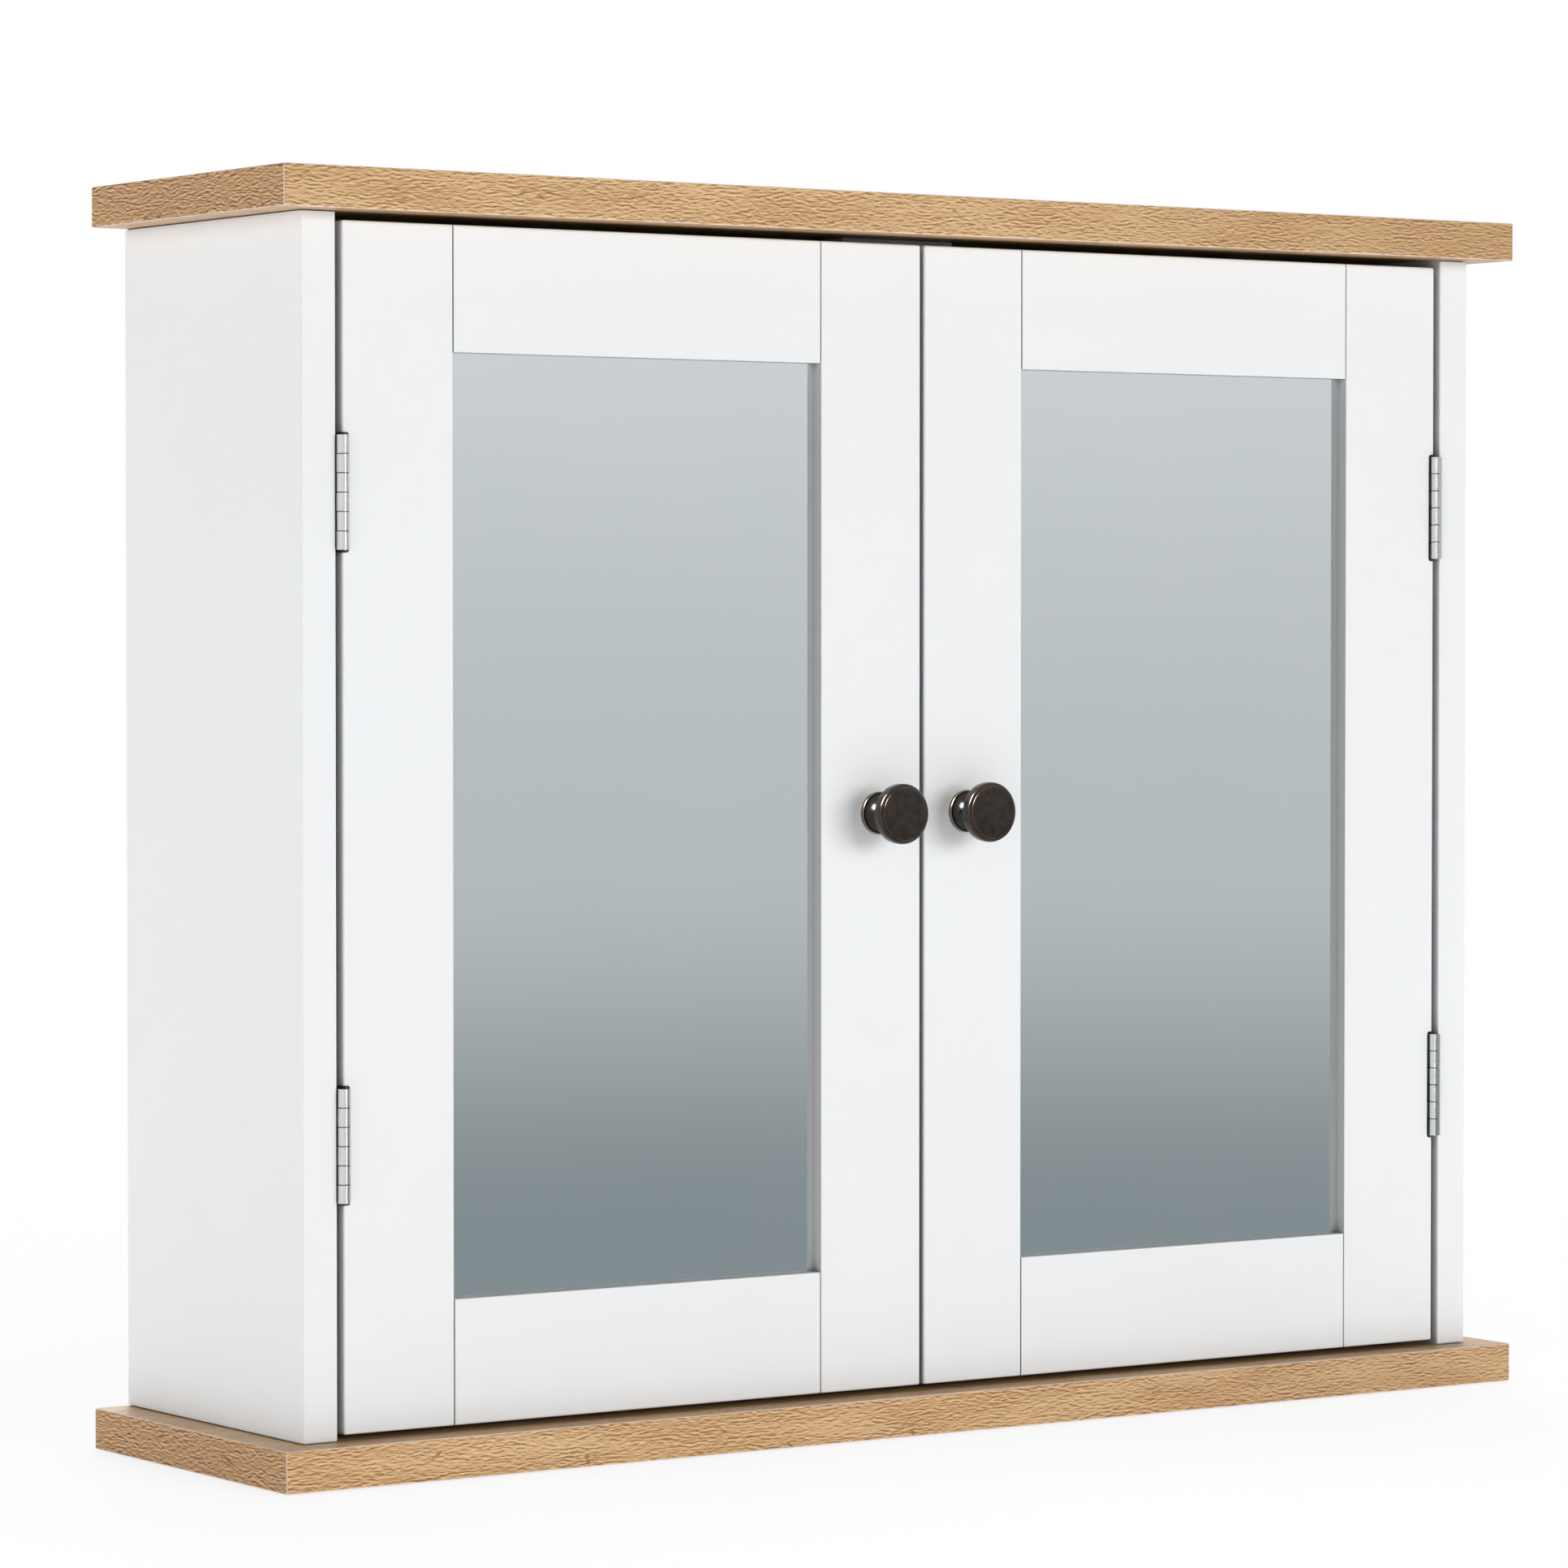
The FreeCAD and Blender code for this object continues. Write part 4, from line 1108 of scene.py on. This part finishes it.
        circle = [math.tau * segment / self.segments for segment in range(self.segments)]
        head = [
            [Vector((radius * math.cos(angle), radius * math.sin(angle), level)) for angle in circle]
            for radius, level in self.head_outline()
        ]
        rings = [points(ring) for ring in head + self.thread_rings(length)]
        for upper, lower in zip(rings, rings[1:]):
            band(upper, lower)
        shape.faces.new(rings[-1])
        mouth = self.recess_outline(1.0, 0.0)
        floor = self.recess_outline(self.recess_taper, self.recess_share * self.head_depth)
        mouth_ring = points(mouth)
        floor_ring = points(floor)
        band(mouth_ring, floor_ring)
        shape.faces.new(floor_ring)
        top = rings[0] + mouth_ring
        for triangle in tessellate_polygon([head[0], mouth]):
            shape.faces.new([top[corner] for corner in triangle])


# Sub-assemblies

@dataclass
class Case:
    """The boards, panels, back and hanging rail, with the fittings that join them."""

    frame: Frame
    body: str = "case"
    back_screw: ScrewForm = ScrewForm(
        HeadShape.COUNTERSUNK, head_radius=2.4, head_depth=1.2, shank_radius=1.2, pitch=1.2, reach=18.0
    )
    boards: Tuple[str, ...] = ("top_board", "bottom_board")
    painted: Tuple[str, ...] = ("left_side_panel", "right_side_panel", "hanging_rail")
    fittings: Tuple[str, ...] = ("cam_discs", "cam_bolts", "shelf_pins", "back_panel_screws")
    dowels: Tuple[str, ...] = ("hanging_rail_dowels", "corner_dowels")

    def build(self) -> None:
        """Draw the back panel's screws."""
        self.back_screw.redraw(self.frame, "back_panel_screws", self.body, Slot.ZINC_STEEL, ZincPlate())

    def dress(self) -> None:
        """Give every piece of the case its finish."""
        dress(self.frame, OakEffect(), self.boards)
        dress(self.frame, SatinPaint(), self.painted)
        dress(self.frame, Hardboard(BareSide.REAR), ["back_panel"])
        dress(self.frame, ZincPlate(), self.fittings)
        dress(self.frame, BareBeech(), self.dowels)


@dataclass
class Shelf:
    """The loose shelf."""

    frame: Frame

    def dress(self) -> None:
        """Give the shelf its finish."""
        dress(self.frame, SatinPaint(), ["shelf"])


@dataclass
class Catch:
    """The twin magnetic catch under the top board."""

    frame: Frame
    body: str = "case"
    ear_screw: ScrewForm = ScrewForm(
        HeadShape.FLAT, head_radius=2.8, head_depth=1.8, shank_radius=1.4, pitch=1.3, reach=18.0, blunt=True
    )

    def build(self) -> None:
        """Draw the screws of the catch."""
        self.ear_screw.redraw(self.frame, "catch_screws", self.body, Slot.ZINC_STEEL, ZincPlate())

    def dress(self) -> None:
        """Give every piece of the catch its finish."""
        dress(self.frame, MouldedPlastic(), ["catch_housing"])
        dress(self.frame, Ferrite(), ["catch_magnets"])
        dress(self.frame, ZincPlate(), ["catch_pole_plates", "catch_screws"])


@dataclass
class Hinges:
    """The butt hinges with their pins and the screws of their leaves."""

    frame: Frame
    leaf_screw: ScrewForm = ScrewForm(
        HeadShape.COUNTERSUNK, head_radius=2.3, head_depth=1.1, shank_radius=1.2, pitch=1.2, reach=16.0
    )
    parts: Tuple[str, ...] = ("frame_leaf", "hinge_pin", "door_leaf")

    def screw_bodies(self) -> Dict[str, str]:
        """Nodes of the leaf screws and the bodies that they ride."""
        doors = {f"{side.value}_door_leaf_screws": f"{side.value}_door" for side in Side}
        return {"frame_leaf_screws": "case", **doors}

    def build(self) -> None:
        """Draw the screws of the leaves."""
        for node, body in self.screw_bodies().items():
            self.leaf_screw.redraw(self.frame, node, body, Slot.HINGE_STEEL, NickelPlate())

    def dress(self) -> None:
        """Give leaves, pins and screws their plating."""
        hinges = [f"{side.value}_{level.value}" for side in Side for level in Level]
        dress(self.frame, NickelPlate(), [f"{hinge}_{part}" for hinge in hinges for part in self.parts])
        dress(self.frame, NickelPlate(), self.screw_bodies())


@dataclass
class Door:
    """One framed mirror door with its knob and strike plate."""

    frame: Frame
    side: Side
    strike_screw: ScrewForm = ScrewForm(
        HeadShape.COUNTERSUNK, head_radius=2.5, head_depth=1.1, shank_radius=1.4, pitch=1.3, reach=18.0
    )
    knob_screw: ScrewForm = ScrewForm(
        HeadShape.FLAT, head_radius=4.0, head_depth=2.4, shank_radius=1.95, pitch=0.7, reach=40.0,
        blunt=True, thread_share=0.16,
    )
    rails: Tuple[str, ...] = ("hinge_stile", "meeting_stile", "top_rail", "bottom_rail")
    fittings: Tuple[str, ...] = ("strike_plate", "strike_screw", "knob_screw")
    flange_radius_mm: float = 8.5

    def node(self, part: str) -> str:
        """Name of a part's node on this door."""
        return f"{self.side.value}_{part}"

    def build(self) -> None:
        """Draw the screws of the strike plate and the knob."""
        body = self.node("door")
        for part, form in (("strike_screw", self.strike_screw), ("knob_screw", self.knob_screw)):
            form.redraw(self.frame, self.node(part), body, Slot.ZINC_STEEL, ZincPlate())

    def bronze(self) -> DarkBronze:
        """Work out the knob's finish from where the knob stands.

        Returns:
            The finish, with the knob's axis and edges.
        """
        low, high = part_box(self.node("knob"))
        middle = (low + high) / 2
        return DarkBronze(
            axis_x_mm=abs(middle.x) / MM,
            axis_z_mm=middle.z / MM,
            face_y_mm=low.y / MM,
            head_radius_mm=(high.x - low.x) / 2 / MM,
            flange_radius_mm=self.flange_radius_mm,
        )

    def dress(self) -> None:
        """Give every piece of the door its finish."""
        dress(self.frame, SatinPaint(), [self.node(part) for part in self.rails])
        dress(self.frame, Silvering(), [self.node("mirror")])
        dress(self.frame, Hardboard(BareSide.FRONT), [self.node("mirror_backing")])
        dress(self.frame, self.bronze(), [self.node("knob")])
        dress(self.frame, ZincPlate(), [self.node(part) for part in self.fittings])


# Studio

KNOBS = tuple(f"{side.value}_knob" for side in Side)
BARRELS = tuple(
    f"{side.value}_{level.value}_{leaf}_leaf"
    for side in Side for level in Level for leaf in ("frame", "door")
)


@dataclass(frozen=True)
class PaleFloor(Finish):
    """Pale floor that goes over into the white background and keeps the object's shadow."""

    name: str = "pale_floor"
    pale: Colour = display_colour(236, 237, 238)
    shade: Colour = display_colour(231, 232, 233)
    cloud_mm: float = 260.0
    near_glow: float = 0.80
    fade_span_mm: Span = (420.0, 1300.0)

    def paint(self, tree: ShaderTree) -> None:
        """Fill the material's tree.

        Args:
            tree: The material's tree.
        """
        place = tree.place_mm()
        x, y, _ = tree.split(place)
        far = tree.rise(tree.length(x, y), self.fade_span_mm)
        tone = tree.blend(tree.noise(place / self.cloud_mm, detail=2.0), self.pale, self.shade)
        matt = tree.add("ShaderNodeBsdfDiffuse", sockets={"Color": tone})
        glow = tree.add("ShaderNodeEmission", sockets={"Color": WHITE, "Strength": 1.0})
        share = tree.seen() * (self.near_glow + (1.0 - self.near_glow) * far)
        tree.close(tree.add("ShaderNodeMixShader", sockets={0: share, 1: matt, 2: glow}))


@dataclass(frozen=True)
class ReflectedWall(Finish):
    """Soft grey wall in front of the mirrors, darker low down, pale at its left end and white at its hem."""

    name: str = "reflected_wall"
    low: Colour = display_colour(138, 147, 151)
    middle: Colour = display_colour(193, 197, 198)
    top: Colour = display_colour(219, 222, 223)
    pale: Colour = display_colour(246, 246, 246)
    low_span_mm: Span = (-230.0, -30.0)
    top_span_mm: Span = (-30.0, 300.0)
    pale_span_mm: Span = (60.0, -420.0)
    hem_span_mm: Span = (620.0, 400.0)

    def paint(self, tree: ShaderTree) -> None:
        """Fill the material's tree.

        Args:
            tree: The material's tree.
        """
        x, y, z = tree.split(tree.place_mm())
        tone = tree.blend(tree.rise(z, self.low_span_mm), self.low, self.middle)
        tone = tree.blend(tree.rise(z, self.top_span_mm), tone, self.top)
        tone = tree.blend(tree.rise(x, self.pale_span_mm), tone, self.pale)
        outer, inner = (reach ** 2 for reach in self.hem_span_mm)
        tone = tree.blend(tree.rise(x * x + y * y, (outer, inner)), tone, WHITE)
        glow = tree.blend(tree.unscattered(), BLACK, tone)
        tree.close(tree.add("ShaderNodeEmission", sockets={"Color": glow}))


@dataclass(frozen=True)
class Lamp:
    """A soft lamp for everything, or for the named pieces alone."""

    name: str
    place: Point
    width: float
    height: float
    power: float
    pieces: Tuple[str, ...] = ()
    throw: Throw = Throw.BOTH
    aim: Point = (0.0, 0.0, 0.0)

    def build(self) -> bpy.types.Object:
        """Set up the lamp.

        Returns:
            The lamp's object.
        """
        light = bpy.data.lights.new(self.name, "AREA")
        light.shape = "RECTANGLE"
        light.size = self.width
        light.size_y = self.height
        light.energy = self.power
        lamp = bpy.data.objects.new(self.name, light)
        lamp.location = self.place
        lamp.rotation_euler = (Vector(self.aim) - Vector(self.place)).to_track_quat("-Z", "Y").to_euler()
        lamp.visible_camera = False
        lamp.visible_diffuse = self.throw is not Throw.GLINT
        lamp.visible_glossy = self.throw is not Throw.MATT
        if self.pieces:
            lit = bpy.data.collections.new(f"{self.name}_pieces")
            for piece in self.pieces:
                lit.objects.link(bpy.data.objects[piece])
            lamp.light_linking.receiver_collection = lit
        bpy.context.scene.collection.objects.link(lamp)
        return lamp


@dataclass
class Studio:
    """Plain pale studio with its camera, lamps, world, floor and the wall that the mirrors look at.

    Angles are in degrees.
    """

    floor_level: float
    floor_drop: float = 0.0005
    floor_half: float = 30.0
    camera_place: Point = (-1.39519, -2.08559, 0.07592)
    camera_yaw: float = 34.3004
    camera_pitch: float = 1.518
    camera_lens_mm: float = 137.236
    world_diffuse: float = 0.16
    wall_radius: float = 0.75
    wall_from: float = -52.0
    wall_to: float = 68.0
    wall_height: float = 0.62
    apron_radius: float = 0.36
    apron_rise: float = 0.002
    wall_steps: int = 48
    lamps: List[Lamp] = field(default_factory=lambda: [
        Lamp("key_lamp", (3.40, -8.10, 1.10), width=7.0, height=4.4, power=530.0, throw=Throw.MATT),
        Lamp("left_lamp", (-2.50, 0.75, 0.60), width=1.2, height=1.6, power=23.5),
        Lamp("left_front_lamp", (-2.40, -1.70, 0.30), width=2.0, height=1.1, power=7.0, throw=Throw.MATT),
        Lamp("floor_lamp", (-0.30, -1.00, 1.80), width=2.6, height=2.0, power=34.0,
             pieces=("floor",), aim=(-0.30, -0.80, -0.25)),
        Lamp("top_lamp", (0.40, 0.40, 2.60), width=1.2, height=0.8, power=26.0),
        Lamp("rear_lamp", (1.20, 2.30, 1.70), width=1.6, height=1.6, power=36.0),
        Lamp("knob_glint", (-1.73, -0.85, 1.68), width=1.1, height=1.4, power=300.0,
             pieces=KNOBS, throw=Throw.GLINT),
        Lamp("barrel_glint", (-0.11, -0.67, 0.00), width=0.03, height=0.45, power=0.50,
             pieces=BARRELS, throw=Throw.GLINT, aim=(-0.268, -0.14, 0.0)),
    ])

    def build(self) -> None:
        """Set up the whole studio."""
        self.build_camera()
        self.build_world()
        self.build_floor()
        self.build_wall()
        for lamp in self.lamps:
            lamp.build()

    def build_camera(self) -> None:
        """Set up the camera and plain colour handling."""
        lens = bpy.data.cameras.new("camera")
        lens.lens = self.camera_lens_mm
        camera = bpy.data.objects.new("camera", lens)
        camera.location = self.camera_place
        pitch = math.radians(90.0 - self.camera_pitch)
        camera.rotation_euler = (pitch, 0.0, -math.radians(self.camera_yaw))
        scene = bpy.context.scene
        scene.collection.objects.link(camera)
        scene.camera = camera
        scene.view_settings.view_transform = "Standard"

    def build_world(self) -> None:
        """Set up a world that is white to look at and gentler as a light."""
        world = bpy.data.worlds.new("pale_world")
        bpy.context.scene.world = world
        tree = ShaderTree(world)
        strength = self.world_diffuse + (1.0 - self.world_diffuse) * tree.seen()
        sky = tree.add("ShaderNodeBackground", sockets={"Color": WHITE, "Strength": strength})
        tree.add("ShaderNodeOutputWorld", sockets={"Surface": sky})

    def stage_piece(self, name: str, shape: bmesh.types.BMesh, finish: Finish) -> bpy.types.Object:
        """Turn a mesh into a piece of the stage.

        Args:
            name: Name of the piece.
            shape: Its mesh, which is used up.
            finish: Its finish.

        Returns:
            The piece.
        """
        mesh = bpy.data.meshes.new(name)
        shape.to_mesh(mesh)
        shape.free()
        mesh.shade_smooth()
        mesh.materials.append(finish.material())
        piece = bpy.data.objects.new(name, mesh)
        bpy.context.scene.collection.objects.link(piece)
        piece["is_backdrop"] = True
        return piece

    def build_floor(self) -> None:
        """Set up the floor under the object."""
        shape = bmesh.new()
        bmesh.ops.create_grid(shape, x_segments=2, y_segments=2, size=self.floor_half)
        floor = self.stage_piece("floor", shape, PaleFloor())
        floor.location.z = self.floor_level - self.floor_drop

    def build_wall(self) -> None:
        """Set up the curved wall and its apron on the floor, which only mirrors and polished pieces show."""
        shape = bmesh.new()
        foot = self.floor_level + self.apron_rise
        head = foot + self.wall_height
        profile = ((self.apron_radius, foot), (self.wall_radius, foot), (self.wall_radius, head))
        columns = []
        for step in range(self.wall_steps + 1):
            share = step / self.wall_steps
            angle = math.radians(self.wall_from + (self.wall_to - self.wall_from) * share)
            across, out = math.sin(angle), -math.cos(angle)
            column = [shape.verts.new((reach * across, reach * out, level)) for reach, level in profile]
            columns.append(column)
        for column, following in zip(columns, columns[1:]):
            for low in range(len(column) - 1):
                shape.faces.new((column[low], following[low], following[low + 1], column[low + 1]))
        wall = self.stage_piece("reflected_wall", shape, ReflectedWall())
        wall.visible_camera = False
        wall.visible_diffuse = False
        wall.visible_transmission = False
        wall.visible_shadow = False


def clear_scene() -> None:
    """Take away whatever the file starts with."""
    for piece in list(bpy.data.objects):
        bpy.data.objects.remove(piece)


def main() -> None:
    """Load the frame, build and dress every sub-assembly and set up the studio."""
    logging.basicConfig(level=logging.INFO, format="%(name)s: %(message)s")
    clear_scene()
    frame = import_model()
    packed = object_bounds()
    doors = [Door(frame, side) for side in Side]
    for assembly in (Case(frame), Catch(frame), Hinges(frame), *doors):
        assembly.build()
        assembly.dress()
    Shelf(frame).dress()
    Studio(floor_level=packed[0].z).build()


if __name__ == "__main__":
    main()
